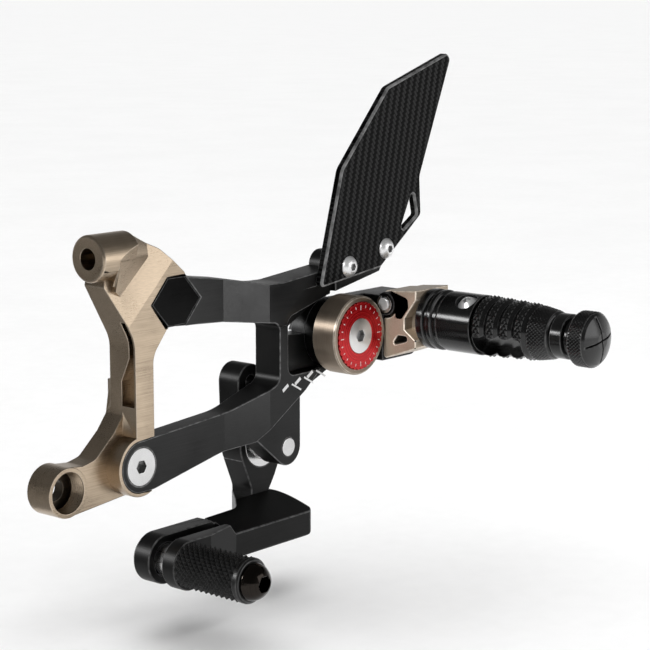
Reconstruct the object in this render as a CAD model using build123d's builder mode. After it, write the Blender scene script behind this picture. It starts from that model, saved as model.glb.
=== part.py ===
from build123d import *
import os

# Gear-side rear set of a motorcycle: a milled adapter bolts to the frame and carries a two-armed
# side plate, and the plate carries the heel guard, the folding foot peg and the gear lever.
# X points to the rear, Z up and -Y outboard. The origin is the axis of the lower frame bolt on
# the face that meets the frame, so a distance outboard is a distance from the frame.

# Frame pick-ups of the adapter
LOWER_BOSS_R = 10.2
LOWER_BOSS_LENGTH = 13.0
LOWER_BOLT_R = 4.25
LOWER_HEAD_R = 8.3
LOWER_HEAD_DEPTH = 8.0
UPPER_BOSS_X = 12.5
UPPER_BOSS_OUT = 13.2
UPPER_BOSS_Z = 91.7
UPPER_BOSS_R = 9.5
UPPER_BOSS_LENGTH = 20.0
UPPER_COLLAR_LENGTH = 9.0
UPPER_BOLT_R = 4.25
UPPER_BOLT_DEPTH = 18.0

# Adapter body
ADAPTER_BACK = 5.0
ADAPTER_FACE = 20.0
SEAT_OUT = 11.0
COLUMN_X = 31.0
COLUMN_WIDTH = 10.2
LOWER_ARM_OUT = 12.4
PAD_WALL = 1.7
BEVEL_WIDTH = 10.0
BEVEL_DEPTH = 2.0
BOSS_EDGE_CHAMFER = 0.8
SLOT_WIDTH = 2.4
SLOT_DEPTH = 5.0
SLOT_FROM_FACE = 1.2
WEB_HEIGHT = 34.6
WEB_STEP = 1.0

# Ends of the side plate, seated in the adapter
LOWER_END_X = 33.5
LOWER_END_Z = 5.4
LOWER_END_R = 10.7
UPPER_END_X = 54.7
UPPER_END_Z = 70.6
HEX_HALF_WIDTH = 14.3
HEX_HALF_TOP = 5.0
HEX_HALF_HEIGHT = 10.3
CAP_THICKNESS = 2.0
SEAT_CLEARANCE = 0.1

# Side plate
PLATE_HUB_FACE = 25.4
POST_AHEAD = 38.5
POST_WIDTH = 5.4
JOGGLE_AHEAD = 6.5
JOGGLE_LENGTH = 23.0
POCKET_FLOOR = 19.0
HUB_EYE_R = 15.2
LUG_FACE = 22.0
LUG_R = 8.2
FACET_DROP = 2.5
PLATE_EDGE_CHAMFER = 0.6

# Plate bolts, M8 countersunk
M8_R = 4.0
CSK_HEAD_R = 7.8
CSK_SOCKET_ACROSS = 5.0
CSK_SOCKET_DEPTH = 2.6
BOLT_CLEARANCE = 0.2

# Adjuster: barrel, index ring and clamp bolt on one axis
BARREL_X = 150.5
BARREL_Z = 45.4
BARREL_R = 17.5
BARREL_LENGTH = 12.3
BARREL_LIFT = 0.3
RING_R = 15.0
RING_THICKNESS = 2.2
RING_PROUD = 0.6
RING_NOTCHES = 36
RING_NOTCH_R = 0.55
SPIGOT_R = 10.0
SPIGOT_CLEARANCE = 0.05
CLAMP_NUT_ACROSS = 13.0
CLAMP_NUT_HEIGHT = 6.5
WASHER_THICKNESS = 1.6

# Peg carrier, sizes from the barrel axis
CARRIER_DISC_R = 15.6
CARRIER_BOTTOM = -14.0
CARRIER_TOP = 15.6
EAR_THICKNESS = 4.0
EAR_R = 5.2
EAR_GAP = 16.5
EAR_SIDE_CLEARANCE = 0.3
STOP_CLEARANCE = 0.15

# Heel guard
GUARD_THICKNESS = 3.5
GUARD_EDGE_CHAMFER = 0.8
GUARD_SCREW_FRONT = (3.5, 29.4)
GUARD_SCREW_REAR = (29.5, 34.8)
GUARD_BOSS_R = 6.6
M5_R = 2.5
BUTTON_HEAD_R = 4.7
BUTTON_HEAD_HEIGHT = 2.7
BUTTON_SOCKET_ACROSS = 3.0

# Foot peg
PEG_BEHIND = 30.0
PEG_ABOVE = 5.9
FOLD_PIN_OUT = 38.0
FOLD_PIN_ABOVE = 6.1
FOLD_PIN_R = 2.75
FOLD_PIN_CLEARANCE = 0.05
FOLD_PIN_HEAD_R = 4.4
FOLD_PIN_HEAD = 1.8
SPRING_WIRE = 1.0
SPRING_MEAN_R = 3.7
SPRING_PITCH = 1.4
SPRING_TURNS = 4
SPRING_POCKET_R = 4.6
KNUCKLE_EYE_R = 5.8
KNUCKLE_BACK = 37.0
KNUCKLE_WIDTH = 24.0
KNUCKLE_ROOT_DROP = 19.0
KNUCKLE_TOP_RISE = 1.6
KNUCKLE_POCKET_DEPTH = 5.5
BASE_RING_OUT = 55.0
BASE_RING_LENGTH = 11.0
BASE_RING_R = 13.4
COLLAR_LENGTH = 18.5
COLLAR_R = 13.2
GRIP_LENGTH = 48.0
GRIP_START_R = 12.9
GRIP_END_R = 10.2
GRIP_RIBS = 4
GRIP_RIB_PITCH = 7.0
GRIP_RIB_DEPTH = 1.3
NECK_R = 9.7
NECK_LENGTH = 9.6
WAIST_R = 8.2
WAIST_LENGTH = 2.6
KNOB_LENGTH = 11.5
KNOB_R = 11.6
SPINDLE_R = 5.0
SPINDLE_SOCKET = 4.5
SPINDLE_CLEARANCE = 0.05

# Gear lever
PIVOT_AHEAD = 29.6
PIVOT_BELOW = 47.2
PIVOT_PIN_R = 4.0
PIVOT_FIT = 0.03
PIVOT_PROUD = 0.4
PIVOT_HEAD_R = 6.5
PIVOT_HEAD_HEIGHT = 4.0
BEARING_R = 11.0
BEARING_WIDTH = 7.0
BEARING_SPLIT_R = 7.4
BEARING_RUNNING_GAP = 0.08
LEVER_FACE = 7.0
LEVER_THICKNESS = 12.0
LEVER_HUB_R = 14.4
LEVER_BOLT_WELL_R = 7.0
LEVER_TOP_AHEAD = 7.5
LEVER_TOP_ABOVE = 28.2
LEVER_TOP_R = 8.0
ROD_HOLE_R = 3.05
BAR_FACE = 26.0
BAR_BEHIND = 13.0
BAR_LENGTH = 55.9
BLADE_FOOT = 20.4
BAR_BELOW = 22.6
BAR_HEIGHT = 18.8
BAR_FACET_HEIGHT = 11.2
BAR_NOSE_UPPER_R = 9.0
BAR_NOSE_LOWER_R = 5.0

# Toe peg in the fork of the lever
TOE_AHEAD = 27.5
TOE_ABOVE = 5.6
FORK_R = 10.6
FORK_INNER_OUT = 7.6
FORK_INNER_THICKNESS = 9.0
FORK_GAP = 7.4
FORK_OUTER_THICKNESS = 7.0
TOE_JOURNAL_R = 7.0
TOE_RUNNING_FIT = 0.05
TOE_ECCENTRIC = 3.0
TOE_ECCENTRIC_ANGLE = 157.0
TOE_SPINDLE_R = 4.5
TOE_RUBBER_LENGTH = 33.0
TOE_RUBBER_R = 8.7
TOE_WASHER_R = 9.4
TOE_WASHER_THICKNESS = 3.0
TOE_SCREW_R = 7.8
TOE_SOCKET_ACROSS = 6.0
TOE_SCREW_HEIGHT = 6.4
TOE_SCREW_RIM = 1.0
TOE_SCREW_FLAT_R = 3.6
TOE_SCREW_LENGTH = 14.0
TOE_FLANGE_R = 8.6
TOE_FLANGE_THICKNESS = 1.7
TOE_SIDE_GAP = 0.3

# Worked out from the sizes above
POST_X = BARREL_X - POST_AHEAD
JOGGLE_END_X = POST_X - JOGGLE_AHEAD
JOGGLE_START_X = JOGGLE_END_X - JOGGLE_LENGTH
PEG_X = BARREL_X + PEG_BEHIND
PEG_Z = BARREL_Z + PEG_ABOVE
FOLD_PIN_Z = PEG_Z + FOLD_PIN_ABOVE
PIVOT_X = BARREL_X - PIVOT_AHEAD
PIVOT_Z = BARREL_Z - PIVOT_BELOW
LEVER_TOP_X = PIVOT_X - LEVER_TOP_AHEAD
LEVER_TOP_Z = PIVOT_Z + LEVER_TOP_ABOVE
BAR_REAR_X = PIVOT_X + BAR_BEHIND
BAR_FRONT_X = BAR_REAR_X - BAR_LENGTH
BAR_TOP_Z = PIVOT_Z - BAR_BELOW
BAR_BOTTOM_Z = BAR_TOP_Z - BAR_HEIGHT
BAR_FACET_Z = BAR_BOTTOM_Z + BAR_FACET_HEIGHT
TOE_X = BAR_FRONT_X - TOE_AHEAD
TOE_Z = BAR_BOTTOM_Z + TOE_ABOVE
PLATE_BACK = SEAT_OUT
CAP_SEAT = ADAPTER_FACE - CAP_THICKNESS
BARREL_OUT = PLATE_HUB_FACE + BARREL_LIFT
BARREL_FACE = BARREL_OUT + BARREL_LENGTH
GUARD_OUT = PLATE_HUB_FACE
GUARD_FACE = GUARD_OUT + GUARD_THICKNESS
KNUCKLE_TOP_Z = FOLD_PIN_Z + KNUCKLE_EYE_R
COLLAR_OUT = BASE_RING_OUT + BASE_RING_LENGTH
GRIP_OUT = COLLAR_OUT + COLLAR_LENGTH
KNOB_OUT = GRIP_OUT + GRIP_LENGTH
LEVER_BACK = LEVER_FACE - LEVER_THICKNESS
FORK_OUTER_OUT = FORK_INNER_OUT + FORK_INNER_THICKNESS + FORK_GAP
FORK_FACE = FORK_OUTER_OUT + FORK_OUTER_THICKNESS
EAR_FRONT_X = PEG_X - EAR_GAP / 2 - EAR_THICKNESS
EAR_REAR_X = PEG_X + EAR_GAP / 2 + EAR_THICKNESS
SPRING_POCKET_DEPTH = SPRING_PITCH * (SPRING_TURNS + 1) + SPRING_WIRE
BEYOND = 60.0


def outboard(distance, x=0.0, z=0.0):
    """Plane parallel to the side of the motorcycle, drawn in X and Z and facing outboard."""
    return Plane(origin=(x, -distance, z), x_dir=(1, 0, 0), z_dir=(0, -1, 0))


def lengthwise(x, z=0.0):
    """Plane across X, drawn in distance outboard and height, and facing forward."""
    return Plane(origin=(x, 0, z), x_dir=(0, -1, 0), z_dir=(-1, 0, 0))


def plan(z):
    """Plane drawn in X and distance outboard, and facing down."""
    return Plane(origin=(0, 0, z), x_dir=(1, 0, 0), z_dir=(0, 0, -1))


def points(outline):
    """The corner points of an outline given as (x, y, corner radius)."""
    return [(x, y) for x, y, _ in outline]


def radii(outline):
    """The corner radii of an outline given as (x, y, corner radius)."""
    return [radius for _, _, radius in outline]


def write(builder, name):
    """Label a finished piece and write it to its own file."""
    builder.part.label = name
    export_step(builder.part, f"parts/{name}.step")


os.makedirs("parts", exist_ok=True)

# The elongated hexagon of the upper seat, its cap and the arm's end
HEX_OUTLINE = [
    (UPPER_END_X - HEX_HALF_WIDTH, UPPER_END_Z),
    (UPPER_END_X - HEX_HALF_TOP, UPPER_END_Z - HEX_HALF_HEIGHT),
    (UPPER_END_X + HEX_HALF_TOP, UPPER_END_Z - HEX_HALF_HEIGHT),
    (UPPER_END_X + HEX_HALF_WIDTH, UPPER_END_Z),
    (UPPER_END_X + HEX_HALF_TOP, UPPER_END_Z + HEX_HALF_HEIGHT),
    (UPPER_END_X - HEX_HALF_TOP, UPPER_END_Z + HEX_HALF_HEIGHT),
]

# Arms of the side plate, outlined from the seats to the hub
POST_MIDDLE_Z = BARREL_Z + 2.6
UPPER_ARM = [
    (UPPER_END_X, UPPER_END_Z - HEX_HALF_HEIGHT, 0),
    (JOGGLE_START_X, UPPER_END_Z - 12.2, 40),
    (POST_X, POST_MIDDLE_Z + 6.5, 4),
    (POST_X, POST_MIDDLE_Z, 0),
    (POST_X + POST_WIDTH, POST_MIDDLE_Z, 0),
    (BARREL_X - 2.0, BARREL_Z + 17.0, 0),
    (BARREL_X - 2.0, BARREL_Z + 29.6, 0),
    (POST_X + 2.0, BARREL_Z + 26.6, 30),
    (JOGGLE_END_X - 1.0, BARREL_Z + 27.0, 30),
    (JOGGLE_START_X, UPPER_END_Z + 6.2, 40),
    (UPPER_END_X, UPPER_END_Z + HEX_HALF_HEIGHT, 0),
]
LOWER_ARM = [
    (LOWER_END_X, LOWER_END_Z - LOWER_END_R, 0),
    (LOWER_END_X + 6.5, LOWER_END_Z - LOWER_END_R, 20),
    (JOGGLE_START_X - 2.5, LOWER_END_Z - 2.8, 40),
    (JOGGLE_END_X - 5.5, PIVOT_Z + 6.4, 0),
    (PIVOT_X, PIVOT_Z + 6.4, 0),
    (PIVOT_X + LUG_R, PIVOT_Z + 6.4, 0),
    (PIVOT_X + LUG_R, BARREL_Z - 23.8, 3),
    (BARREL_X + 4.0, BARREL_Z - 14.0, 0),
    (BARREL_X, BARREL_Z, 0),
    (POST_X + POST_WIDTH, POST_MIDDLE_Z, 0),
    (POST_X, POST_MIDDLE_Z, 0),
    (POST_X, BARREL_Z - 17.0, 5),
    (JOGGLE_START_X + 1.5, LOWER_END_Z + 14.2, 40),
    (LOWER_END_X + 12.5, LOWER_END_Z + 11.6, 20),
    (LOWER_END_X, LOWER_END_Z + LOWER_END_R, 0),
]
POCKET = [
    (POST_X + POST_WIDTH, BARREL_Z - 14.7, 4),
    (BARREL_X + 1.0, BARREL_Z - 14.7, 0),
    (BARREL_X + BEYOND, BARREL_Z - 30.0, 0),
    (BARREL_X + BEYOND, BARREL_Z + 30.0, 0),
    (BARREL_X + 10.0, BARREL_Z + 19.0, 0),
    (BARREL_X - 4.0, BARREL_Z + 17.0, 0),
    (POST_X + POST_WIDTH, BARREL_Z + 10.6, 5),
]
LUG_STEP = [
    (JOGGLE_END_X - 8.5, PIVOT_Z + 5.4, 0),
    (PIVOT_X, PIVOT_Z - BEYOND, 0),
    (PIVOT_X + LUG_R + BEYOND, PIVOT_Z - BEYOND, 0),
    (PIVOT_X + LUG_R + BEYOND, PIVOT_Z + 11.8 + BEYOND, 0),
    (PIVOT_X + LUG_R, PIVOT_Z + 24.6, 0),
]

# Facet between the upper arm and the guard, sunk towards the barrel
facet_foot = Vector(POST_X - 0.6, -PLATE_HUB_FACE, BARREL_Z + 7.8)
facet_head = Vector(BARREL_X - 13.3, -PLATE_HUB_FACE, BARREL_Z + 31.4)
facet_low = Vector(BARREL_X - 1.5, FACET_DROP - PLATE_HUB_FACE, BARREL_Z + 18.3)
facet_plane = Plane(
    origin=facet_foot,
    x_dir=facet_head - facet_foot,
    z_dir=(facet_low - facet_foot).cross(facet_head - facet_foot),
)
FACET = [
    (POST_X - 0.6, BARREL_Z + 7.8),
    (BARREL_X - 23.8, BARREL_Z + 21.8),
    (BARREL_X - 15.7, BARREL_Z + 22.2),
    (BARREL_X - 1.5, BARREL_Z + 23.8),
    (BARREL_X - 1.5, BARREL_Z + 14.0),
    (POST_X + POST_WIDTH, BARREL_Z + 7.8),
]

# Side plate: two arms, the hub with its pocket, the lug of the lever and the tab of the guard
with BuildPart() as side_plate:
    with BuildSketch(outboard(PLATE_BACK)):
        with BuildLine():
            FilletPolyline(*points(UPPER_ARM), radius=radii(UPPER_ARM), close=True)
        make_face()
        with BuildLine():
            FilletPolyline(*points(LOWER_ARM), radius=radii(LOWER_ARM), close=True)
        make_face()
        with BuildLine():
            Polyline(*HEX_OUTLINE, close=True)
        make_face()
        with Locations((LOWER_END_X, LOWER_END_Z)):
            Circle(LOWER_END_R)
        with Locations((BARREL_X, BARREL_Z)):
            Circle(HUB_EYE_R)
        with BuildLine():
            Polyline(
                (JOGGLE_END_X - 7.5, PIVOT_Z + 8.3),
                (PIVOT_X - LUG_R * 0.65, PIVOT_Z - LUG_R * 0.76),
                (PIVOT_X, PIVOT_Z),
                (PIVOT_X + LUG_R, PIVOT_Z),
                (PIVOT_X + LUG_R, PIVOT_Z + 11.8),
                close=True,
            )
        make_face()
        with Locations((PIVOT_X, PIVOT_Z)):
            Circle(LUG_R)
        with BuildLine():
            Polyline(
                (BARREL_X - 18.0, BARREL_Z + 12.0),
                (BARREL_X - 2.0, BARREL_Z + 18.5),
                (BARREL_X + GUARD_SCREW_REAR[0], BARREL_Z + GUARD_SCREW_REAR[1] - GUARD_BOSS_R * 1.6),
                (BARREL_X + GUARD_SCREW_REAR[0] + GUARD_BOSS_R, BARREL_Z + GUARD_SCREW_REAR[1]),
                (BARREL_X + GUARD_SCREW_FRONT[0], BARREL_Z + GUARD_SCREW_FRONT[1] + GUARD_BOSS_R),
                close=True,
            )
        make_face()
        for spot in (GUARD_SCREW_FRONT, GUARD_SCREW_REAR):
            with Locations((BARREL_X + spot[0], BARREL_Z + spot[1])):
                Circle(GUARD_BOSS_R)
    extrude(amount=PLATE_HUB_FACE - PLATE_BACK)
    with BuildSketch(plan(BEYOND * 2)):
        with BuildLine():
            Polyline(
                (-BEYOND, ADAPTER_FACE),
                (JOGGLE_START_X, ADAPTER_FACE),
                (JOGGLE_END_X, PLATE_HUB_FACE),
                (JOGGLE_END_X, PLATE_HUB_FACE + BEYOND),
                (-BEYOND, PLATE_HUB_FACE + BEYOND),
                close=True,
            )
        make_face()
    extrude(amount=BEYOND * 4, mode=Mode.SUBTRACT)
    with BuildSketch(outboard(LUG_FACE)):
        with BuildLine():
            FilletPolyline(*points(LUG_STEP), radius=radii(LUG_STEP), close=True)
        make_face()
    extrude(amount=BEYOND, mode=Mode.SUBTRACT)
    with BuildSketch(outboard(POCKET_FLOOR)):
        with BuildLine():
            FilletPolyline(*points(POCKET), radius=radii(POCKET), close=True)
        make_face()
        with Locations((BARREL_X, BARREL_Z)):
            Circle(CARRIER_DISC_R + BARREL_LIFT)
    extrude(amount=BEYOND, mode=Mode.SUBTRACT)
    with BuildSketch(facet_plane):
        with BuildLine():
            corners = [Vector(x, -PLATE_HUB_FACE, z) for x, z in FACET]
            Polyline(*[facet_plane.to_local_coords(corner) for corner in corners], close=True)
        make_face()
    extrude(amount=BEYOND, mode=Mode.SUBTRACT)
    with BuildSketch(outboard(CAP_SEAT)):
        with BuildLine():
            Polyline(*HEX_OUTLINE, close=True)
        make_face()
    extrude(amount=BEYOND, mode=Mode.SUBTRACT)
    with Locations(outboard(CAP_SEAT, UPPER_END_X, UPPER_END_Z)):
        CounterSinkHole(M8_R + BOLT_CLEARANCE, CSK_HEAD_R + BOLT_CLEARANCE, counter_sink_angle=90)
    with Locations(outboard(ADAPTER_FACE, LOWER_END_X, LOWER_END_Z)):
        CounterSinkHole(M8_R + BOLT_CLEARANCE, CSK_HEAD_R + BOLT_CLEARANCE, counter_sink_angle=90)
    with Locations(outboard(POCKET_FLOOR, BARREL_X, BARREL_Z)):
        Hole(SPIGOT_R + SPIGOT_CLEARANCE)
    with Locations(outboard(LUG_FACE, PIVOT_X, PIVOT_Z)):
        Hole(PIVOT_PIN_R + PIVOT_FIT)
    for spot in (GUARD_SCREW_FRONT, GUARD_SCREW_REAR):
        with Locations(outboard(PLATE_HUB_FACE, BARREL_X + spot[0], BARREL_Z + spot[1])):
            Hole(M5_R + SEAT_CLEARANCE)
write(side_plate, "side_plate")

# Adapter: frame bosses, lower arm, column and the two seats of the plate's ends
WEB = [
    (0.0, -LOWER_BOSS_R, 0),
    (LOWER_END_X, LOWER_END_Z - LOWER_END_R - PAD_WALL, 0),
    (COLUMN_X + COLUMN_WIDTH, LOWER_END_Z, 0),
    (COLUMN_X + COLUMN_WIDTH, LOWER_END_Z + WEB_HEIGHT, 0),
    (COLUMN_X + WEB_STEP, LOWER_END_Z + WEB_HEIGHT, 0),
    (COLUMN_X + WEB_STEP, LOWER_END_Z + 28.6, 3),
    (COLUMN_X - 0.4, LOWER_END_Z + 20.6, 2),
    (COLUMN_X - 5.4, LOWER_END_Z + 14.2, 2),
    (LOWER_BOSS_R + 5.0, LOWER_BOSS_R + 0.4, 6),
    (LOWER_BOSS_R - 1.5, LOWER_BOSS_R - 0.9, 4),
    (0.0, LOWER_BOSS_R, 0),
]
COLUMN = [
    (COLUMN_X, LOWER_END_Z, 0),
    (COLUMN_X, UPPER_END_Z - 13.6, 14),
    (UPPER_BOSS_X + 5.5, UPPER_BOSS_Z - 11.7, 0),
    (UPPER_BOSS_X + 8.0, UPPER_BOSS_Z, 0),
    (UPPER_BOSS_X + 19.5, UPPER_BOSS_Z + UPPER_BOSS_R - 1.5, 4),
    (UPPER_END_X - 7.7, UPPER_END_Z + 22.4, 8),
    (UPPER_END_X + HEX_HALF_TOP, UPPER_END_Z + HEX_HALF_HEIGHT + 1.4, 2),
    (UPPER_END_X + HEX_HALF_TOP + 5.0, UPPER_END_Z, 0),
    (UPPER_END_X + HEX_HALF_TOP, UPPER_END_Z - HEX_HALF_HEIGHT, 0),
    (UPPER_END_X - HEX_HALF_TOP, UPPER_END_Z - HEX_HALF_HEIGHT, 3),
    (COLUMN_X + COLUMN_WIDTH, UPPER_END_Z - 20.6, 10),
    (COLUMN_X + COLUMN_WIDTH, LOWER_END_Z, 0),
]
BEVEL_START = (COLUMN_X - 0.4, 0, UPPER_END_Z - 4.5)
BEVEL_SLOPE = 44.0
SLOT_TOP = UPPER_END_Z - 5.6
SLOT_BOTTOM = LOWER_END_Z + 24.6
SLOT_FLARE = 7.0
SLOT_FLARE_HEIGHT = 10.0

# Upper frame boss: a round collar in front, and behind it a wedge that falls to the bevel of the face
WEDGE_FOOT = Vector(UPPER_BOSS_X + 12.5, BEVEL_DEPTH - ADAPTER_FACE, UPPER_BOSS_Z - 15.9)
WEDGE_HEAD = Vector(UPPER_BOSS_X + 28.5, BEVEL_DEPTH - ADAPTER_FACE, UPPER_BOSS_Z - 1.6)
WEDGE_NECK = Vector(
    UPPER_BOSS_X + UPPER_COLLAR_LENGTH,
    -UPPER_BOSS_OUT - UPPER_BOSS_R + 0.3,
    UPPER_BOSS_Z - 1.7,
)
wedge_plane = Plane(
    origin=WEDGE_FOOT,
    x_dir=WEDGE_HEAD - WEDGE_FOOT,
    z_dir=(WEDGE_HEAD - WEDGE_FOOT).cross(WEDGE_NECK - WEDGE_FOOT),
)
with BuildPart() as upper_boss:
    with BuildSketch(outboard(UPPER_BOSS_OUT)):
        with BuildLine():
            Polyline(
                (WEDGE_FOOT.X, WEDGE_FOOT.Z),
                (WEDGE_HEAD.X, WEDGE_HEAD.Z),
                (WEDGE_NECK.X, WEDGE_NECK.Z),
                (WEDGE_NECK.X, WEDGE_FOOT.Z + 2.5),
                close=True,
            )
        make_face()
    extrude(amount=BEYOND)
    with BuildSketch(lengthwise(UPPER_BOSS_X + UPPER_BOSS_LENGTH)):
        with Locations((UPPER_BOSS_OUT, UPPER_BOSS_Z)):
            Circle(UPPER_BOSS_R)
    extrude(amount=UPPER_BOSS_LENGTH - UPPER_COLLAR_LENGTH)
    with BuildSketch(wedge_plane):
        Rectangle(BEYOND * 2, BEYOND * 2)
    extrude(amount=BEYOND, mode=Mode.SUBTRACT)
    with BuildSketch(lengthwise(UPPER_BOSS_X + UPPER_COLLAR_LENGTH)):
        with Locations((UPPER_BOSS_OUT, UPPER_BOSS_Z)):
            Circle(UPPER_BOSS_R)
    extrude(amount=UPPER_COLLAR_LENGTH)
    chamfer(upper_boss.faces().sort_by(Axis.X)[0].outer_wire().edges(), BOSS_EDGE_CHAMFER)

with BuildPart() as adapter_bracket:
    with BuildSketch(outboard(0)):
        Circle(LOWER_BOSS_R)
    extrude(amount=LOWER_BOSS_LENGTH)
    with BuildSketch(outboard(ADAPTER_BACK / 2)):
        with BuildLine():
            FilletPolyline(*points(WEB), radius=radii(WEB), close=True)
        make_face()
    extrude(amount=LOWER_ARM_OUT - ADAPTER_BACK / 2)
    with BuildSketch(outboard(ADAPTER_BACK / 2)):
        with Locations((LOWER_END_X, LOWER_END_Z)):
            Circle(LOWER_END_R + PAD_WALL)
    extrude(amount=ADAPTER_FACE - ADAPTER_BACK / 2)
    with BuildSketch(outboard(ADAPTER_BACK)):
        with BuildLine():
            FilletPolyline(*points(COLUMN), radius=radii(COLUMN), close=True)
        make_face()
    extrude(amount=ADAPTER_FACE - ADAPTER_BACK)
    bevel_along = Vector(1, 0, 0).rotate(Axis.Y, -BEVEL_SLOPE)
    bevel_out = Vector(0, 0, 1).rotate(Axis.Y, -BEVEL_SLOPE)
    bevel_plane = Plane(origin=BEVEL_START, x_dir=bevel_out, z_dir=bevel_along)
    with BuildSketch(bevel_plane):
        with BuildLine():
            Polyline(
                (0, ADAPTER_FACE),
                (BEVEL_WIDTH * 3, ADAPTER_FACE - BEVEL_DEPTH * 3),
                (BEVEL_WIDTH * 6, ADAPTER_FACE - BEVEL_DEPTH * 3),
                (BEVEL_WIDTH * 6, ADAPTER_FACE + BEYOND),
                (0, ADAPTER_FACE + BEYOND),
                close=True,
            )
        make_face()
    extrude(amount=BEYOND, both=True, mode=Mode.SUBTRACT)
    add(upper_boss.part)
    with BuildSketch(lengthwise(COLUMN_X + SLOT_DEPTH)):
        with BuildLine():
            Polyline(
                (ADAPTER_FACE - SLOT_FROM_FACE, SLOT_BOTTOM),
                (ADAPTER_FACE - SLOT_FROM_FACE, SLOT_TOP),
                (ADAPTER_FACE - SLOT_FROM_FACE - SLOT_WIDTH, SLOT_TOP),
                (ADAPTER_FACE - SLOT_FROM_FACE - SLOT_WIDTH, SLOT_BOTTOM + SLOT_FLARE_HEIGHT * 2),
                (ADAPTER_FACE - SLOT_FROM_FACE - SLOT_FLARE, SLOT_BOTTOM + SLOT_FLARE_HEIGHT),
                (ADAPTER_FACE - SLOT_FROM_FACE - SLOT_FLARE, SLOT_BOTTOM),
                close=True,
            )
        make_face()
    extrude(amount=SLOT_DEPTH * 2, mode=Mode.SUBTRACT)
    with BuildSketch(outboard(SEAT_OUT)):
        with BuildLine():
            FilletPolyline(*points(UPPER_ARM), radius=radii(UPPER_ARM), close=True)
        make_face()
        with BuildLine():
            Polyline(*HEX_OUTLINE, close=True)
        make_face()
        with BuildLine():
            FilletPolyline(*points(LOWER_ARM), radius=radii(LOWER_ARM), close=True)
        make_face()
        with Locations((LOWER_END_X, LOWER_END_Z)):
            Circle(LOWER_END_R)
        offset(amount=SEAT_CLEARANCE)
    extrude(amount=BEYOND, mode=Mode.SUBTRACT)
    with Locations(outboard(LOWER_BOSS_LENGTH)):
        CounterBoreHole(LOWER_BOLT_R, LOWER_HEAD_R, LOWER_HEAD_DEPTH)
    with Locations(lengthwise(UPPER_BOSS_X) * Location((UPPER_BOSS_OUT, UPPER_BOSS_Z, 0))):
        Hole(UPPER_BOLT_R, UPPER_BOLT_DEPTH)
    for x, z in ((UPPER_END_X, UPPER_END_Z), (LOWER_END_X, LOWER_END_Z)):
        with Locations(outboard(SEAT_OUT, x, z)):
            Hole(M8_R + SEAT_CLEARANCE)
write(adapter_bracket, "adapter_bracket")

# Cap over the upper plate bolt
with BuildPart() as hex_cap:
    with BuildSketch(outboard(CAP_SEAT)):
        with BuildLine():
            Polyline(*HEX_OUTLINE, close=True)
        make_face()
    extrude(amount=CAP_THICKNESS)
    chamfer(hex_cap.faces().sort_by(Axis.Y)[0].edges(), PLATE_EDGE_CHAMFER)
write(hex_cap, "hex_cap")


def countersunk_bolt(face, x, z, length):
    """M8 countersunk bolt whose head lies flush at a distance outboard."""
    with BuildPart() as bolt:
        with BuildSketch(lengthwise(x, z)):
            with BuildLine():
                Polyline(
                    (face, 0),
                    (face, CSK_HEAD_R),
                    (face - CSK_HEAD_R + M8_R, M8_R),
                    (face - length, M8_R),
                    (face - length, 0),
                    close=True,
                )
            make_face()
        revolve(axis=Axis((x, 0, z), (0, -1, 0)))
        with BuildSketch(outboard(face, x, z)):
            RegularPolygon(CSK_SOCKET_ACROSS / 2, 6, major_radius=False)
        extrude(amount=-CSK_SOCKET_DEPTH, mode=Mode.SUBTRACT)
    return bolt


write(countersunk_bolt(CAP_SEAT, UPPER_END_X, UPPER_END_Z, CAP_SEAT - ADAPTER_BACK), "upper_plate_bolt")
write(
    countersunk_bolt(ADAPTER_FACE, LOWER_END_X, LOWER_END_Z, ADAPTER_FACE - ADAPTER_BACK),
    "lower_plate_bolt",
)

# Heel guard, outlined from the barrel axis
GUARD = [
    (-15.7, 21.8, 2),
    (26.6, 26.6, 3),
    (55.9, 47.8, 3),
    (54.8, 65.5, 6),
    (79.2, 122.4, 3),
    (30.6, 107.0, 5),
    (-1.2, 72.6, 8),
]
GUARD_WINDOW = [(49.6, 60.0, 1.2), (39.8, 40.6, 1.2), (52.4, 48.2, 1.2)]

with BuildPart() as heel_guard:
    with BuildSketch(outboard(GUARD_OUT, BARREL_X, BARREL_Z)):
        with BuildLine():
            FilletPolyline(*points(GUARD), radius=radii(GUARD), close=True)
        make_face()
        with BuildLine():
            FilletPolyline(*points(GUARD_WINDOW), radius=radii(GUARD_WINDOW), close=True)
        make_face(mode=Mode.SUBTRACT)
        with Locations(GUARD_SCREW_FRONT, GUARD_SCREW_REAR):
            Circle(M5_R + BOLT_CLEARANCE, mode=Mode.SUBTRACT)
    extrude(amount=GUARD_THICKNESS)
    face = heel_guard.faces().sort_by(Axis.Y)[0]
    rims = [face.outer_wire(), face.inner_wires().sort_by(SortBy.LENGTH)[-1]]
    chamfer([edge for rim in rims for edge in rim.edges()], GUARD_EDGE_CHAMFER)
write(heel_guard, "heel_guard")

GUARD_SCREW_LENGTH = 10.0
BUTTON_FLAT_R = 2.2
BUTTON_RIM = 0.4


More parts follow.
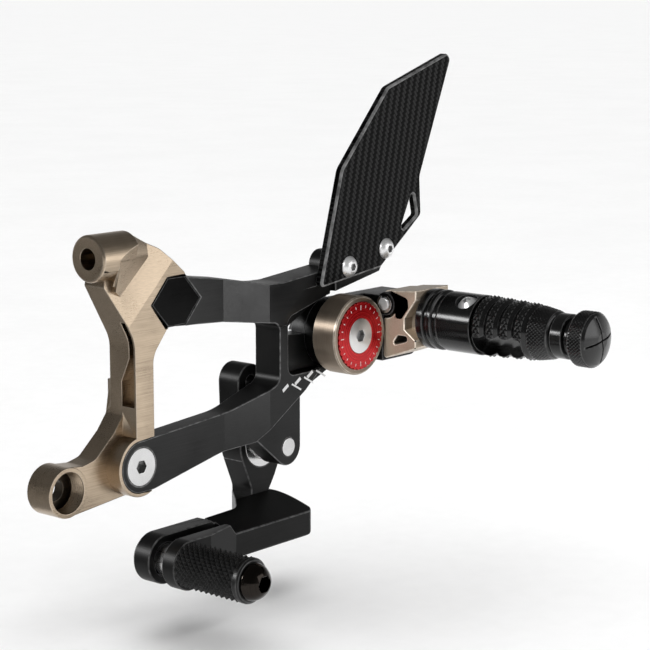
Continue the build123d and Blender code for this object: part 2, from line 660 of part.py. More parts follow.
def button_screw(face, x, z, length):
    """M5 button-head screw whose head sits on a face at a distance outboard."""
    top = face + BUTTON_HEAD_HEIGHT
    with BuildPart() as screw:
        with BuildSketch(lengthwise(x, z)):
            with BuildLine():
                Polyline(
                    (top, BUTTON_FLAT_R),
                    (top, 0),
                    (face - length, 0),
                    (face - length, M5_R),
                    (face, M5_R),
                    (face, BUTTON_HEAD_R),
                    (face + BUTTON_RIM, BUTTON_HEAD_R),
                )
                RadiusArc((face + BUTTON_RIM, BUTTON_HEAD_R), (top, BUTTON_FLAT_R), BUTTON_HEAD_R)
            make_face()
        revolve(axis=Axis((x, 0, z), (0, -1, 0)))
        with BuildSketch(outboard(top, x, z)):
            RegularPolygon(BUTTON_SOCKET_ACROSS / 2, 6, major_radius=False)
        extrude(amount=-BUTTON_HEAD_HEIGHT * 0.6, mode=Mode.SUBTRACT)
    return screw


with BuildPart() as heel_guard_screws:
    for spot in (GUARD_SCREW_FRONT, GUARD_SCREW_REAR):
        screw = button_screw(GUARD_FACE, BARREL_X + spot[0], BARREL_Z + spot[1], GUARD_SCREW_LENGTH)
        add(screw.part)
write(heel_guard_screws, "heel_guard_screws")

# Adjuster stack on the barrel axis
RING_OUT = BARREL_FACE + RING_PROUD - RING_THICKNESS
SPIGOT_OUT = PLATE_BACK - SPIGOT_CLEARANCE
WASHER_OUT = SPIGOT_OUT - WASHER_THICKNESS
NUT_OUT = WASHER_OUT - CLAMP_NUT_HEIGHT

with BuildPart() as adjuster_barrel:
    with BuildSketch(outboard(BARREL_OUT, BARREL_X, BARREL_Z)):
        Circle(BARREL_R)
    extrude(amount=BARREL_LENGTH)
    chamfer(adjuster_barrel.faces().sort_by(Axis.Y)[0].edges(), PLATE_EDGE_CHAMFER)
    with Locations(outboard(BARREL_FACE, BARREL_X, BARREL_Z)):
        CounterBoreHole(M8_R + BOLT_CLEARANCE, RING_R + SEAT_CLEARANCE, BARREL_FACE - RING_OUT)
    with Locations(outboard(BARREL_FACE + RING_PROUD, BARREL_X, BARREL_Z)):
        CounterSinkHole(M8_R + BOLT_CLEARANCE, CSK_HEAD_R + BOLT_CLEARANCE, counter_sink_angle=90)
write(adjuster_barrel, "adjuster_barrel")

with BuildPart() as index_ring:
    with BuildSketch(outboard(RING_OUT, BARREL_X, BARREL_Z)):
        Circle(RING_R)
        with PolarLocations(RING_R, RING_NOTCHES):
            Circle(RING_NOTCH_R, mode=Mode.SUBTRACT)
    extrude(amount=RING_THICKNESS)
    with Locations(outboard(BARREL_FACE + RING_PROUD, BARREL_X, BARREL_Z)):
        CounterSinkHole(M8_R + BOLT_CLEARANCE, CSK_HEAD_R + BOLT_CLEARANCE, counter_sink_angle=90)
write(index_ring, "index_ring")

write(
    countersunk_bolt(BARREL_FACE + RING_PROUD, BARREL_X, BARREL_Z, BARREL_FACE + RING_PROUD - NUT_OUT),
    "clamp_bolt",
)

with BuildPart() as clamp_washer:
    with BuildSketch(outboard(WASHER_OUT, BARREL_X, BARREL_Z)):
        Circle(SPIGOT_R + 2.0)
        Circle(M8_R + BOLT_CLEARANCE, mode=Mode.SUBTRACT)
    extrude(amount=WASHER_THICKNESS)
write(clamp_washer, "clamp_washer")

with BuildPart() as clamp_nut:
    with BuildSketch(outboard(NUT_OUT, BARREL_X, BARREL_Z)):
        RegularPolygon(CLAMP_NUT_ACROSS / 2, 6, major_radius=False)
        Circle(M8_R + SEAT_CLEARANCE, mode=Mode.SUBTRACT)
    extrude(amount=CLAMP_NUT_HEIGHT)
write(clamp_nut, "clamp_nut")

# Peg carrier: disc and spigot in the plate, and a clevis for the fold pin behind the barrel
CARRIER_OUT = POCKET_FLOOR + SPIGOT_CLEARANCE
CLEVIS_OUT = KNUCKLE_BACK - STOP_CLEARANCE
EAR_ROOT_OUT = GUARD_FACE + 1.0
PIN_RELIEF_R = KNUCKLE_EYE_R + 0.5

with BuildPart() as peg_carrier:
    with BuildSketch(outboard(CARRIER_OUT)):
        with Locations((BARREL_X, BARREL_Z)):
            Circle(CARRIER_DISC_R)
        with BuildLine():
            FilletPolyline(
                (BARREL_X, BARREL_Z + CARRIER_BOTTOM),
                (EAR_REAR_X, BARREL_Z + CARRIER_BOTTOM),
                (EAR_REAR_X, BARREL_Z + CARRIER_TOP),
                (BARREL_X, BARREL_Z + CARRIER_TOP),
                radius=[0, 4, 4, 0],
                close=True,
            )
        make_face()
    extrude(amount=BARREL_OUT - CARRIER_OUT)
    with BuildSketch(outboard(BARREL_OUT)):
        with BuildLine():
            FilletPolyline(
                (EAR_FRONT_X, BARREL_Z + CARRIER_BOTTOM),
                (EAR_REAR_X, BARREL_Z + CARRIER_BOTTOM),
                (EAR_REAR_X, BARREL_Z + CARRIER_TOP),
                (EAR_FRONT_X, BARREL_Z + CARRIER_TOP),
                radius=[0, 4, 4, 0],
                close=True,
            )
        make_face()
    extrude(amount=CLEVIS_OUT - BARREL_OUT)
    with BuildSketch(lengthwise(EAR_REAR_X)):
        with Locations((FOLD_PIN_OUT, FOLD_PIN_Z)):
            Circle(EAR_R)
        with BuildLine():
            Polyline(
                (EAR_ROOT_OUT, FOLD_PIN_Z - EAR_R),
                (FOLD_PIN_OUT, FOLD_PIN_Z - EAR_R),
                (FOLD_PIN_OUT, FOLD_PIN_Z),
                (FOLD_PIN_OUT - EAR_R, FOLD_PIN_Z),
                close=True,
            )
        make_face()
    extrude(amount=EAR_REAR_X - EAR_FRONT_X)
    with BuildSketch(lengthwise(PEG_X + EAR_GAP / 2)):
        with BuildLine():
            Polyline(
                (EAR_ROOT_OUT, FOLD_PIN_Z + EAR_R + 1.0),
                (FOLD_PIN_OUT - PIN_RELIEF_R, FOLD_PIN_Z + EAR_R + 1.0),
                (FOLD_PIN_OUT - PIN_RELIEF_R, FOLD_PIN_Z),
                (FOLD_PIN_OUT, FOLD_PIN_Z - PIN_RELIEF_R),
                (FOLD_PIN_OUT + BEYOND, FOLD_PIN_Z - PIN_RELIEF_R),
                (FOLD_PIN_OUT + BEYOND, FOLD_PIN_Z + BEYOND),
                (EAR_ROOT_OUT, FOLD_PIN_Z + BEYOND),
                close=True,
            )
        make_face()
        with Locations((FOLD_PIN_OUT, FOLD_PIN_Z)):
            Circle(PIN_RELIEF_R)
    extrude(amount=EAR_GAP, mode=Mode.SUBTRACT)
    with BuildSketch(outboard(SPIGOT_OUT, BARREL_X, BARREL_Z)):
        Circle(SPIGOT_R)
    extrude(amount=CARRIER_OUT - SPIGOT_OUT)
    with Locations(outboard(BARREL_OUT, BARREL_X, BARREL_Z)):
        Hole(M8_R + BOLT_CLEARANCE)
    with BuildSketch(lengthwise(EAR_REAR_X)):
        with Locations((FOLD_PIN_OUT, FOLD_PIN_Z)):
            Circle(FOLD_PIN_R + FOLD_PIN_CLEARANCE)
    extrude(amount=EAR_REAR_X - EAR_FRONT_X, mode=Mode.SUBTRACT)
write(peg_carrier, "peg_carrier")

# Fold pin through the clevis, with a head behind and a clip in front
CLIP_THICKNESS = 0.8
PIN_END = 1.4
with BuildPart() as fold_pin:
    with BuildSketch(lengthwise(EAR_REAR_X + FOLD_PIN_HEAD)):
        with Locations((FOLD_PIN_OUT, FOLD_PIN_Z)):
            Circle(FOLD_PIN_HEAD_R)
    extrude(amount=FOLD_PIN_HEAD)
    with BuildSketch(lengthwise(EAR_REAR_X)):
        with Locations((FOLD_PIN_OUT, FOLD_PIN_Z)):
            Circle(FOLD_PIN_R)
    extrude(amount=EAR_REAR_X - EAR_FRONT_X + PIN_END)
write(fold_pin, "fold_pin")

with BuildPart() as fold_pin_clip:
    with BuildSketch(lengthwise(EAR_FRONT_X)):
        with Locations((FOLD_PIN_OUT, FOLD_PIN_Z)):
            Circle(FOLD_PIN_R + 1.3)
            Circle(FOLD_PIN_R, mode=Mode.SUBTRACT)
            with Locations((0, FOLD_PIN_R)):
                Rectangle(FOLD_PIN_R * 1.2, FOLD_PIN_R * 2, mode=Mode.SUBTRACT)
    extrude(amount=CLIP_THICKNESS)
write(fold_pin_clip, "fold_pin_clip")

# Peg knuckle: an eye on the fold pin and a milled truss that spreads to the round of the peg
KNUCKLE = [
    (KNUCKLE_BACK, FOLD_PIN_Z, 0),
    (KNUCKLE_BACK, PEG_Z - KNUCKLE_ROOT_DROP, 1.5),
    (BASE_RING_OUT, PEG_Z - BASE_RING_R + 1.0, 0),
    (BASE_RING_OUT, KNUCKLE_TOP_Z + KNUCKLE_TOP_RISE, 0),
    (FOLD_PIN_OUT, KNUCKLE_TOP_Z, 0),
    (FOLD_PIN_OUT, FOLD_PIN_Z, 0),
]
UPPER_WINDOW = [
    (FOLD_PIN_OUT + 6.6, PEG_Z + 9.2, 1.0),
    (BASE_RING_OUT - 5.0, PEG_Z + 9.6, 1.6),
    (BASE_RING_OUT - 4.6, PEG_Z + 5.4, 1.6),
    (BASE_RING_OUT - 8.2, PEG_Z + 0.6, 1.0),
    (FOLD_PIN_OUT + 6.0, PEG_Z + 0.6, 1.0),
]
LOWER_WINDOW = [
    (KNUCKLE_BACK + 4.2, PEG_Z - 12.6, 1.0),
    (BASE_RING_OUT - 4.6, PEG_Z - 9.6, 1.2),
    (BASE_RING_OUT - 5.2, PEG_Z - 7.4, 1.2),
    (KNUCKLE_BACK + 8.0, PEG_Z - 7.4, 1.6),
]
SIDE_POCKET = [
    (BASE_RING_OUT + 1.0, PEG_Z + 10.6),
    (BASE_RING_OUT - 6.2, PEG_Z + 0.6),
    (BASE_RING_OUT - 6.2, PEG_Z - 4.4),
    (BASE_RING_OUT + 1.0, PEG_Z - 9.6),
]
EAR_RELIEF_R = EAR_R + 1.2

with BuildPart() as peg_knuckle:
    with BuildSketch(lengthwise(PEG_X)):
        with BuildLine():
            FilletPolyline(*points(KNUCKLE), radius=radii(KNUCKLE), close=True)
        make_face()
        with Locations((FOLD_PIN_OUT, FOLD_PIN_Z)):
            Circle(KNUCKLE_EYE_R)
        for window in (UPPER_WINDOW, LOWER_WINDOW):
            with BuildLine():
                FilletPolyline(*points(window), radius=radii(window), close=True)
            make_face(mode=Mode.SUBTRACT)
    extrude(amount=KNUCKLE_WIDTH / 2, both=True)
    for side in (1, -1):
        with BuildSketch(lengthwise(PEG_X + side * KNUCKLE_WIDTH / 2)):
            with BuildLine():
                Polyline(*SIDE_POCKET, close=True)
            make_face()
        extrude(amount=side * KNUCKLE_POCKET_DEPTH, mode=Mode.SUBTRACT)
        gap_edge = EAR_GAP / 2 - EAR_SIDE_CLEARANCE
        with BuildSketch(lengthwise(PEG_X + side * gap_edge)):
            with Locations((FOLD_PIN_OUT, FOLD_PIN_Z)):
                Circle(EAR_RELIEF_R)
            with BuildLine():
                Polyline(
                    (KNUCKLE_BACK - BEYOND, FOLD_PIN_Z - EAR_RELIEF_R),
                    (FOLD_PIN_OUT, FOLD_PIN_Z - EAR_RELIEF_R),
                    (FOLD_PIN_OUT, FOLD_PIN_Z + BEYOND),
                    (KNUCKLE_BACK - BEYOND, FOLD_PIN_Z + BEYOND),
                    close=True,
                )
            make_face()
        extrude(amount=-side * KNUCKLE_WIDTH, mode=Mode.SUBTRACT)
    with BuildSketch(lengthwise(PEG_X + KNUCKLE_WIDTH)):
        with Locations((FOLD_PIN_OUT, FOLD_PIN_Z)):
            Circle(FOLD_PIN_R + FOLD_PIN_CLEARANCE)
    extrude(amount=KNUCKLE_WIDTH * 2, mode=Mode.SUBTRACT)
    with BuildSketch(lengthwise(PEG_X + KNUCKLE_WIDTH)):
        with Locations((FOLD_PIN_OUT, FOLD_PIN_Z)):
            Circle(SPRING_POCKET_R)
    extrude(amount=KNUCKLE_WIDTH - EAR_GAP / 2 + SPRING_POCKET_DEPTH, mode=Mode.SUBTRACT)
    with Locations(outboard(BASE_RING_OUT, PEG_X, PEG_Z)):
        Hole(SPINDLE_R + SPINDLE_CLEARANCE, SPINDLE_SOCKET)
write(peg_knuckle, "peg_knuckle")


def turned(profile):
    """A piece turned about the peg axis from a closed profile of (distance outboard, radius)."""
    with BuildPart() as piece:
        with BuildSketch(lengthwise(PEG_X, PEG_Z)):
            with BuildLine():
                Polyline(*profile, close=True)
            make_face()
        revolve(axis=Axis((PEG_X, 0, PEG_Z), (0, -1, 0)))
    return piece


PEG_BORE = SPINDLE_R + SPINDLE_CLEARANCE
EDGE = 0.8
GROOVE = 1.0
write(
    turned([
        (BASE_RING_OUT, PEG_BORE),
        (BASE_RING_OUT, BASE_RING_R - EDGE),
        (BASE_RING_OUT + EDGE, BASE_RING_R),
        (BASE_RING_OUT + 4.0, BASE_RING_R),
        (BASE_RING_OUT + 4.6, BASE_RING_R - GROOVE),
        (BASE_RING_OUT + 5.8, BASE_RING_R - GROOVE),
        (BASE_RING_OUT + 6.4, BASE_RING_R),
        (BASE_RING_OUT + 8.4, BASE_RING_R),
        (BASE_RING_OUT + 9.0, BASE_RING_R - GROOVE),
        (COLLAR_OUT, BASE_RING_R - GROOVE),
        (COLLAR_OUT, PEG_BORE),
    ]),
    "peg_base_ring",
)

COLLAR_SCREW_OUT = GRIP_OUT - BUTTON_HEAD_R - 1.2
COLLAR_SCREW_ANGLE = 30.0
screw_way = Vector(0, 0, 1).rotate(Axis.Y, -COLLAR_SCREW_ANGLE)
screw_root = Vector(PEG_X, -COLLAR_SCREW_OUT, PEG_Z)
with BuildPart() as peg_collar:
    with BuildSketch(lengthwise(PEG_X, PEG_Z)):
        with BuildLine():
            Polyline(
                (COLLAR_OUT, PEG_BORE),
                (COLLAR_OUT, COLLAR_R - EDGE),
                (COLLAR_OUT + EDGE, COLLAR_R),
                (GRIP_OUT, COLLAR_R),
                (GRIP_OUT, PEG_BORE),
                close=True,
            )
        make_face()
    revolve(axis=Axis((PEG_X, 0, PEG_Z), (0, -1, 0)))
    with Locations(Plane(origin=screw_root, z_dir=screw_way).offset(COLLAR_R + EDGE)):
        CounterBoreHole(
            M5_R + SEAT_CLEARANCE,
            BUTTON_HEAD_R + BOLT_CLEARANCE,
            BUTTON_HEAD_HEIGHT + EDGE,
            COLLAR_R,
        )
write(peg_collar, "peg_collar")

with BuildPart() as collar_screw:
    with BuildSketch(Plane(origin=screw_root, x_dir=screw_way, z_dir=Vector(0, 1, 0).cross(screw_way))):
        with BuildLine():
            Polyline(
                (PEG_BORE, 0),
                (PEG_BORE, M5_R),
                (COLLAR_R - BUTTON_HEAD_HEIGHT, M5_R),
                (COLLAR_R - BUTTON_HEAD_HEIGHT, BUTTON_HEAD_R),
                (COLLAR_R - BUTTON_HEAD_HEIGHT + BUTTON_RIM, BUTTON_HEAD_R),
                (COLLAR_R, BUTTON_FLAT_R),
                (COLLAR_R, 0),
                close=True,
            )
        make_face()
    revolve(axis=Axis(screw_root, screw_way))
    with BuildSketch(Plane(origin=screw_root, z_dir=screw_way).offset(COLLAR_R)):
        RegularPolygon(BUTTON_SOCKET_ACROSS / 2, 6, major_radius=False)
    extrude(amount=-BUTTON_HEAD_HEIGHT * 0.6, mode=Mode.SUBTRACT)
write(collar_screw, "collar_screw")

# Grip: ribs at its root, then a tapered sleeve for the knurl and a smooth neck
NECK_OUT = KNOB_OUT - NECK_LENGTH
RIBS_END = GRIP_OUT + GRIP_RIBS * GRIP_RIB_PITCH
RIB_R = GRIP_START_R - 1.3
grip_profile = [(GRIP_OUT, PEG_BORE)]
for rib in range(GRIP_RIBS):
    start = GRIP_OUT + rib * GRIP_RIB_PITCH
    crest = GRIP_START_R - (GRIP_START_R - RIB_R) * rib / GRIP_RIBS
    grip_profile += [
        (start, crest - GRIP_RIB_DEPTH),
        (start + GRIP_RIB_PITCH * 0.28, crest),
        (start + GRIP_RIB_PITCH * 0.72, crest),
        (start + GRIP_RIB_PITCH, crest - GRIP_RIB_DEPTH),
    ]
grip_profile += [
    (RIBS_END + EDGE, RIB_R),
    (NECK_OUT - EDGE, GRIP_END_R),
    (NECK_OUT, NECK_R - EDGE),
    (NECK_OUT + EDGE, NECK_R),
    (KNOB_OUT - WAIST_LENGTH - EDGE, NECK_R),
    (KNOB_OUT - WAIST_LENGTH, WAIST_R),
    (KNOB_OUT, WAIST_R),
    (KNOB_OUT, PEG_BORE),
]
GRIP_SLOT_START = 0.6
GRIP_SLOT_LENGTH = 25.0
GRIP_SLOT_WIDTH = 13.0
GRIP_SLOT_CORNER = 1.5
GRIP_SLOT_ANGLE = 44.0
with BuildPart() as peg_grip:
    with BuildSketch(lengthwise(PEG_X, PEG_Z)):
        with BuildLine():
            Polyline(*grip_profile, close=True)
        make_face()
    revolve(axis=Axis((PEG_X, 0, PEG_Z), (0, -1, 0)))
    slot_out = Vector(0, 0, -1).rotate(Axis.Y, GRIP_SLOT_ANGLE)
    slot_centre = (PEG_X, -GRIP_OUT - GRIP_SLOT_START - GRIP_SLOT_LENGTH / 2, PEG_Z)
    with BuildSketch(Plane(origin=slot_centre, x_dir=(0, 1, 0), z_dir=slot_out).offset(PEG_BORE + 2.0)):
        RectangleRounded(GRIP_SLOT_LENGTH, GRIP_SLOT_WIDTH, GRIP_SLOT_CORNER)
    extrude(amount=GRIP_START_R, mode=Mode.SUBTRACT)
write(peg_grip, "peg_grip")

KNOB_BORE_DEPTH = 8.0
KNOB_EDGE = 1.2
KNOB_DOME = 3.6
KNOB_FLAT_R = 3.5
KNOB_SLIT = 0.7
KNOB_SLIT_TURN = 12.0
with BuildPart() as peg_knob:
    knob_end = KNOB_OUT + KNOB_LENGTH
    with BuildSketch(lengthwise(PEG_X, PEG_Z)):
        with BuildLine():
            Polyline(
                (knob_end, KNOB_FLAT_R),
                (knob_end, 0),
                (KNOB_OUT + KNOB_BORE_DEPTH, 0),
                (KNOB_OUT + KNOB_BORE_DEPTH, PEG_BORE),
                (KNOB_OUT, PEG_BORE),
                (KNOB_OUT, KNOB_R - KNOB_EDGE),
                (KNOB_OUT + KNOB_EDGE, KNOB_R),
                (knob_end - KNOB_DOME, KNOB_R),
                (knob_end - KNOB_DOME + KNOB_EDGE, KNOB_R - KNOB_EDGE),
            )
            ThreePointArc(
                (knob_end - KNOB_DOME + KNOB_EDGE, KNOB_R - KNOB_EDGE),
                (knob_end - KNOB_EDGE * 0.7, KNOB_R * 0.58),
                (knob_end, KNOB_FLAT_R),
            )
        make_face()
    revolve(axis=Axis((PEG_X, 0, PEG_Z), (0, -1, 0)))
    with BuildSketch(outboard(knob_end, PEG_X, PEG_Z)):
        for turn in (KNOB_SLIT_TURN, KNOB_SLIT_TURN + 90):
            Rectangle(KNOB_R * 4, KNOB_SLIT, rotation=turn)
    extrude(amount=KNOB_EDGE - KNOB_DOME, mode=Mode.SUBTRACT)
write(peg_knob, "peg_knob")

write(
    turned([
        (BASE_RING_OUT - SPINDLE_SOCKET, 0),
        (BASE_RING_OUT - SPINDLE_SOCKET, SPINDLE_R),
        (KNOB_OUT + KNOB_BORE_DEPTH, SPINDLE_R),
        (KNOB_OUT + KNOB_BORE_DEPTH, 0),
    ]),
    "peg_spindle",
)

# Torsion spring round the fold pin, in a pocket of the knuckle's eye
with BuildPart() as fold_spring:
    with BuildLine():
        coil = Helix(
            SPRING_PITCH,
            SPRING_PITCH * SPRING_TURNS,
            SPRING_MEAN_R,
            center=(PEG_X + EAR_GAP / 2 - EAR_SIDE_CLEARANCE - SPRING_WIRE, -FOLD_PIN_OUT, FOLD_PIN_Z),
            direction=(-1, 0, 0),
        )
    with BuildSketch(Plane(origin=coil @ 0, x_dir=(1, 0, 0), z_dir=coil % 0)):
        Rectangle(SPRING_WIRE, SPRING_WIRE)
    sweep(is_frenet=True)
write(fold_spring, "fold_spring")

# Gear lever: a flat blade with the pivot hub, a bar below the plate and a fork for the toe peg
BAR_SECTION = [
    (LEVER_BACK, BAR_BOTTOM_Z, 1.5),
    (BAR_FACE, BAR_BOTTOM_Z, 1.5),
    (BAR_FACE, BAR_FACET_Z, 0),
    (LEVER_FACE, BAR_TOP_Z, 0),
    (LEVER_BACK, BAR_TOP_Z, 0),
]
BAR_PLAN = [
    (BAR_REAR_X, LEVER_BACK, 0),
    (BAR_REAR_X, BAR_FACE, 4),
    (BAR_FRONT_X, BAR_FACE, 0),
    (BAR_FRONT_X, FORK_INNER_OUT + 4.5, 0),
    (BAR_REAR_X - BLADE_FOOT - 15.0, LEVER_BACK + 16.5, 6),
    (BAR_REAR_X - BLADE_FOOT, LEVER_BACK, 0),
]
BAR_SIDE = [
    (BAR_FRONT_X, BAR_BOTTOM_Z, 0),
    (BAR_REAR_X, BAR_BOTTOM_Z, BAR_NOSE_LOWER_R),
    (BAR_REAR_X, BAR_TOP_Z, BAR_NOSE_UPPER_R),
    (BAR_FRONT_X, BAR_TOP_Z, 0),
]
BLADE = [
    (PIVOT_X - LEVER_HUB_R * 0.9, PIVOT_Z - LEVER_HUB_R * 0.45, 0),
    (BAR_REAR_X - BLADE_FOOT, BAR_TOP_Z + 3.0, 6),
    (BAR_REAR_X - BLADE_FOOT, BAR_BOTTOM_Z, 0),
    (BAR_REAR_X - BAR_NOSE_LOWER_R, BAR_BOTTOM_Z, 0),
    (BAR_REAR_X - BAR_NOSE_UPPER_R, BAR_TOP_Z, 0),
    (PIVOT_X + LEVER_HUB_R * 0.55, BAR_TOP_Z + 6.0, 12),
    (PIVOT_X + LEVER_HUB_R * 0.9, PIVOT_Z - LEVER_HUB_R * 0.45, 0),
]
FORK_ROOT_X = BAR_FRONT_X + 5.0
FORK_SLOT_X = BAR_FRONT_X + 2.0

with BuildPart() as gear_lever:
    with BuildSketch(lengthwise(BAR_REAR_X)):
        with BuildLine():
            FilletPolyline(*points(BAR_SECTION), radius=radii(BAR_SECTION), close=True)
        make_face()
    extrude(amount=BAR_REAR_X - BAR_FRONT_X)
    with BuildSketch(plan(BAR_TOP_Z)):
        with BuildLine():
            FilletPolyline(*points(BAR_PLAN), radius=radii(BAR_PLAN), close=True)
        make_face()
    extrude(amount=BEYOND, mode=Mode.INTERSECT)
    with BuildSketch(outboard(LEVER_BACK)):
        with BuildLine():
            FilletPolyline(*points(BAR_SIDE), radius=radii(BAR_SIDE), close=True)
        make_face()
    extrude(amount=BEYOND, mode=Mode.INTERSECT)
    with BuildSketch(outboard(LEVER_BACK)):
        with Locations((PIVOT_X, PIVOT_Z)):
            Circle(LEVER_HUB_R)
        with Locations((LEVER_TOP_X, LEVER_TOP_Z)):
            Circle(LEVER_TOP_R)
        make_hull()
        with BuildLine():
            FilletPolyline(*points(BLADE), radius=radii(BLADE), close=True)
        make_face()
    extrude(amount=LEVER_THICKNESS)
    with BuildSketch(outboard(FORK_INNER_OUT)):
        with Locations((TOE_X, TOE_Z)):
            Circle(FORK_R)
        with BuildLine():
            Polyline(
                (TOE_X, TOE_Z + FORK_R),
                (TOE_X, TOE_Z - FORK_R),
                (FORK_ROOT_X, BAR_BOTTOM_Z),
                (FORK_ROOT_X, BAR_FACET_Z),
                (BAR_FRONT_X, TOE_Z + FORK_R),
                close=True,
            )
        make_face()
    extrude(amount=FORK_FACE - FORK_INNER_OUT)
    with BuildSketch(plan(BEYOND)):
        with BuildLine():
            Polyline(
                (TOE_X + FORK_R + 1.0, FORK_FACE),
                (FORK_ROOT_X, BAR_FACE),
                (FORK_ROOT_X + BEYOND, BAR_FACE),
                (FORK_ROOT_X + BEYOND, FORK_FACE + BEYOND),
                (TOE_X + FORK_R + 1.0, FORK_FACE + BEYOND),
                close=True,
            )
        make_face()
        with Locations(((FORK_SLOT_X + TOE_X - FORK_R * 2) / 2, FORK_OUTER_OUT - FORK_GAP / 2)):
            Rectangle(FORK_SLOT_X - TOE_X + FORK_R * 2, FORK_GAP)
    extrude(amount=BEYOND * 3, mode=Mode.SUBTRACT)
    with Locations(outboard(LEVER_FACE, PIVOT_X, PIVOT_Z)):
        CounterBoreHole(LEVER_BOLT_WELL_R, BEARING_R, BEARING_WIDTH)
    with Locations(outboard(LEVER_FACE, LEVER_TOP_X, LEVER_TOP_Z)):
        Hole(ROD_HOLE_R)
    with Locations(outboard(FORK_FACE, TOE_X, TOE_Z)):
        Hole(TOE_JOURNAL_R + TOE_RUNNING_FIT)
write(gear_lever, "gear_lever")

# Pivot of the lever: a ball bearing pressed in the hub, a spacer and the bolt into the plate's lug
BEARING_OUT = LEVER_FACE - BEARING_WIDTH
with BuildPart() as pivot_bearing_outer:
    with BuildSketch(outboard(BEARING_OUT, PIVOT_X, PIVOT_Z)):
        Circle(BEARING_R)
        Circle(BEARING_SPLIT_R + BEARING_RUNNING_GAP / 2, mode=Mode.SUBTRACT)
    extrude(amount=BEARING_WIDTH)
write(pivot_bearing_outer, "pivot_bearing_outer")

with BuildPart() as pivot_bearing_inner:
    with BuildSketch(outboard(BEARING_OUT, PIVOT_X, PIVOT_Z)):
        Circle(BEARING_SPLIT_R - BEARING_RUNNING_GAP / 2)
        Circle(PIVOT_PIN_R + PIVOT_FIT, mode=Mode.SUBTRACT)
    extrude(amount=BEARING_WIDTH)
write(pivot_bearing_inner, "pivot_bearing_inner")

with BuildPart() as pivot_spacer:
    with BuildSketch(outboard(LEVER_FACE, PIVOT_X, PIVOT_Z)):
        Circle(PIVOT_HEAD_R)
        Circle(PIVOT_PIN_R + PIVOT_FIT, mode=Mode.SUBTRACT)
    extrude(amount=PLATE_BACK - LEVER_FACE)
write(pivot_spacer, "pivot_spacer")

with BuildPart() as pivot_bolt:
    with BuildSketch(outboard(BEARING_OUT - PIVOT_HEAD_HEIGHT, PIVOT_X, PIVOT_Z)):
        Circle(PIVOT_HEAD_R)
    extrude(amount=PIVOT_HEAD_HEIGHT)
    with BuildSketch(outboard(BEARING_OUT, PIVOT_X, PIVOT_Z)):
        Circle(PIVOT_PIN_R)
    extrude(amount=LUG_FACE + PIVOT_PROUD - BEARING_OUT)
    with BuildSketch(outboard(BEARING_OUT - PIVOT_HEAD_HEIGHT, PIVOT_X, PIVOT_Z)):
        RegularPolygon(CSK_SOCKET_ACROSS / 2, 6, major_radius=False)
    extrude(amount=CSK_SOCKET_DEPTH, mode=Mode.SUBTRACT)
write(pivot_bolt, "pivot_bolt")

# Toe peg: an eccentric hub turns in the fork and carries the rubber, its washer and its screw
PEG_OFFSET = Vector(TOE_ECCENTRIC, 0, 0).rotate(Axis.Z, TOE_ECCENTRIC_ANGLE)
TOE_PEG_X = TOE_X + PEG_OFFSET.X
TOE_PEG_Z = TOE_Z + PEG_OFFSET.Y
RUBBER_OUT = FORK_FACE + TOE_SIDE_GAP
TOE_WASHER_OUT = RUBBER_OUT + TOE_RUBBER_LENGTH
TOE_SCREW_OUT = TOE_WASHER_OUT + TOE_WASHER_THICKNESS
TOE_SCREW_REACH = TOE_SCREW_OUT - TOE_SCREW_LENGTH

with BuildPart() as toe_hub:
    with BuildSketch(outboard(FORK_INNER_OUT - TOE_SIDE_GAP, TOE_X, TOE_Z)):
        Circle(TOE_FLANGE_R)
    extrude(amount=-TOE_FLANGE_THICKNESS)
    with BuildSketch(outboard(FORK_INNER_OUT - TOE_SIDE_GAP, TOE_X, TOE_Z)):
        Circle(TOE_JOURNAL_R)
    extrude(amount=RUBBER_OUT - FORK_INNER_OUT + TOE_SIDE_GAP)
    with BuildSketch(outboard(RUBBER_OUT, TOE_PEG_X, TOE_PEG_Z)):
        Circle(TOE_SPINDLE_R)
    extrude(amount=TOE_RUBBER_LENGTH)
    with Locations(outboard(TOE_WASHER_OUT, TOE_PEG_X, TOE_PEG_Z)):
        Hole(M5_R + SEAT_CLEARANCE, TOE_WASHER_OUT - TOE_SCREW_REACH + SEAT_CLEARANCE)
write(toe_hub, "toe_hub")

with BuildPart() as toe_rubber:
    with BuildSketch(outboard(RUBBER_OUT, TOE_PEG_X, TOE_PEG_Z)):
        Circle(TOE_RUBBER_R)
        Circle(TOE_SPINDLE_R + SPINDLE_CLEARANCE, mode=Mode.SUBTRACT)
    extrude(amount=TOE_RUBBER_LENGTH)
    chamfer(toe_rubber.faces().sort_by(Axis.Y)[-1].outer_wire().edges(), EDGE)
write(toe_rubber, "toe_rubber")

with BuildPart() as toe_end_washer:
    with BuildSketch(outboard(TOE_WASHER_OUT, TOE_PEG_X, TOE_PEG_Z)):
        Circle(TOE_WASHER_R)
        Circle(M5_R + BOLT_CLEARANCE, mode=Mode.SUBTRACT)
    extrude(amount=TOE_WASHER_THICKNESS)
    chamfer(toe_end_washer.faces().sort_by(Axis.Y)[0].outer_wire().edges(), EDGE)
write(toe_end_washer, "toe_end_washer")

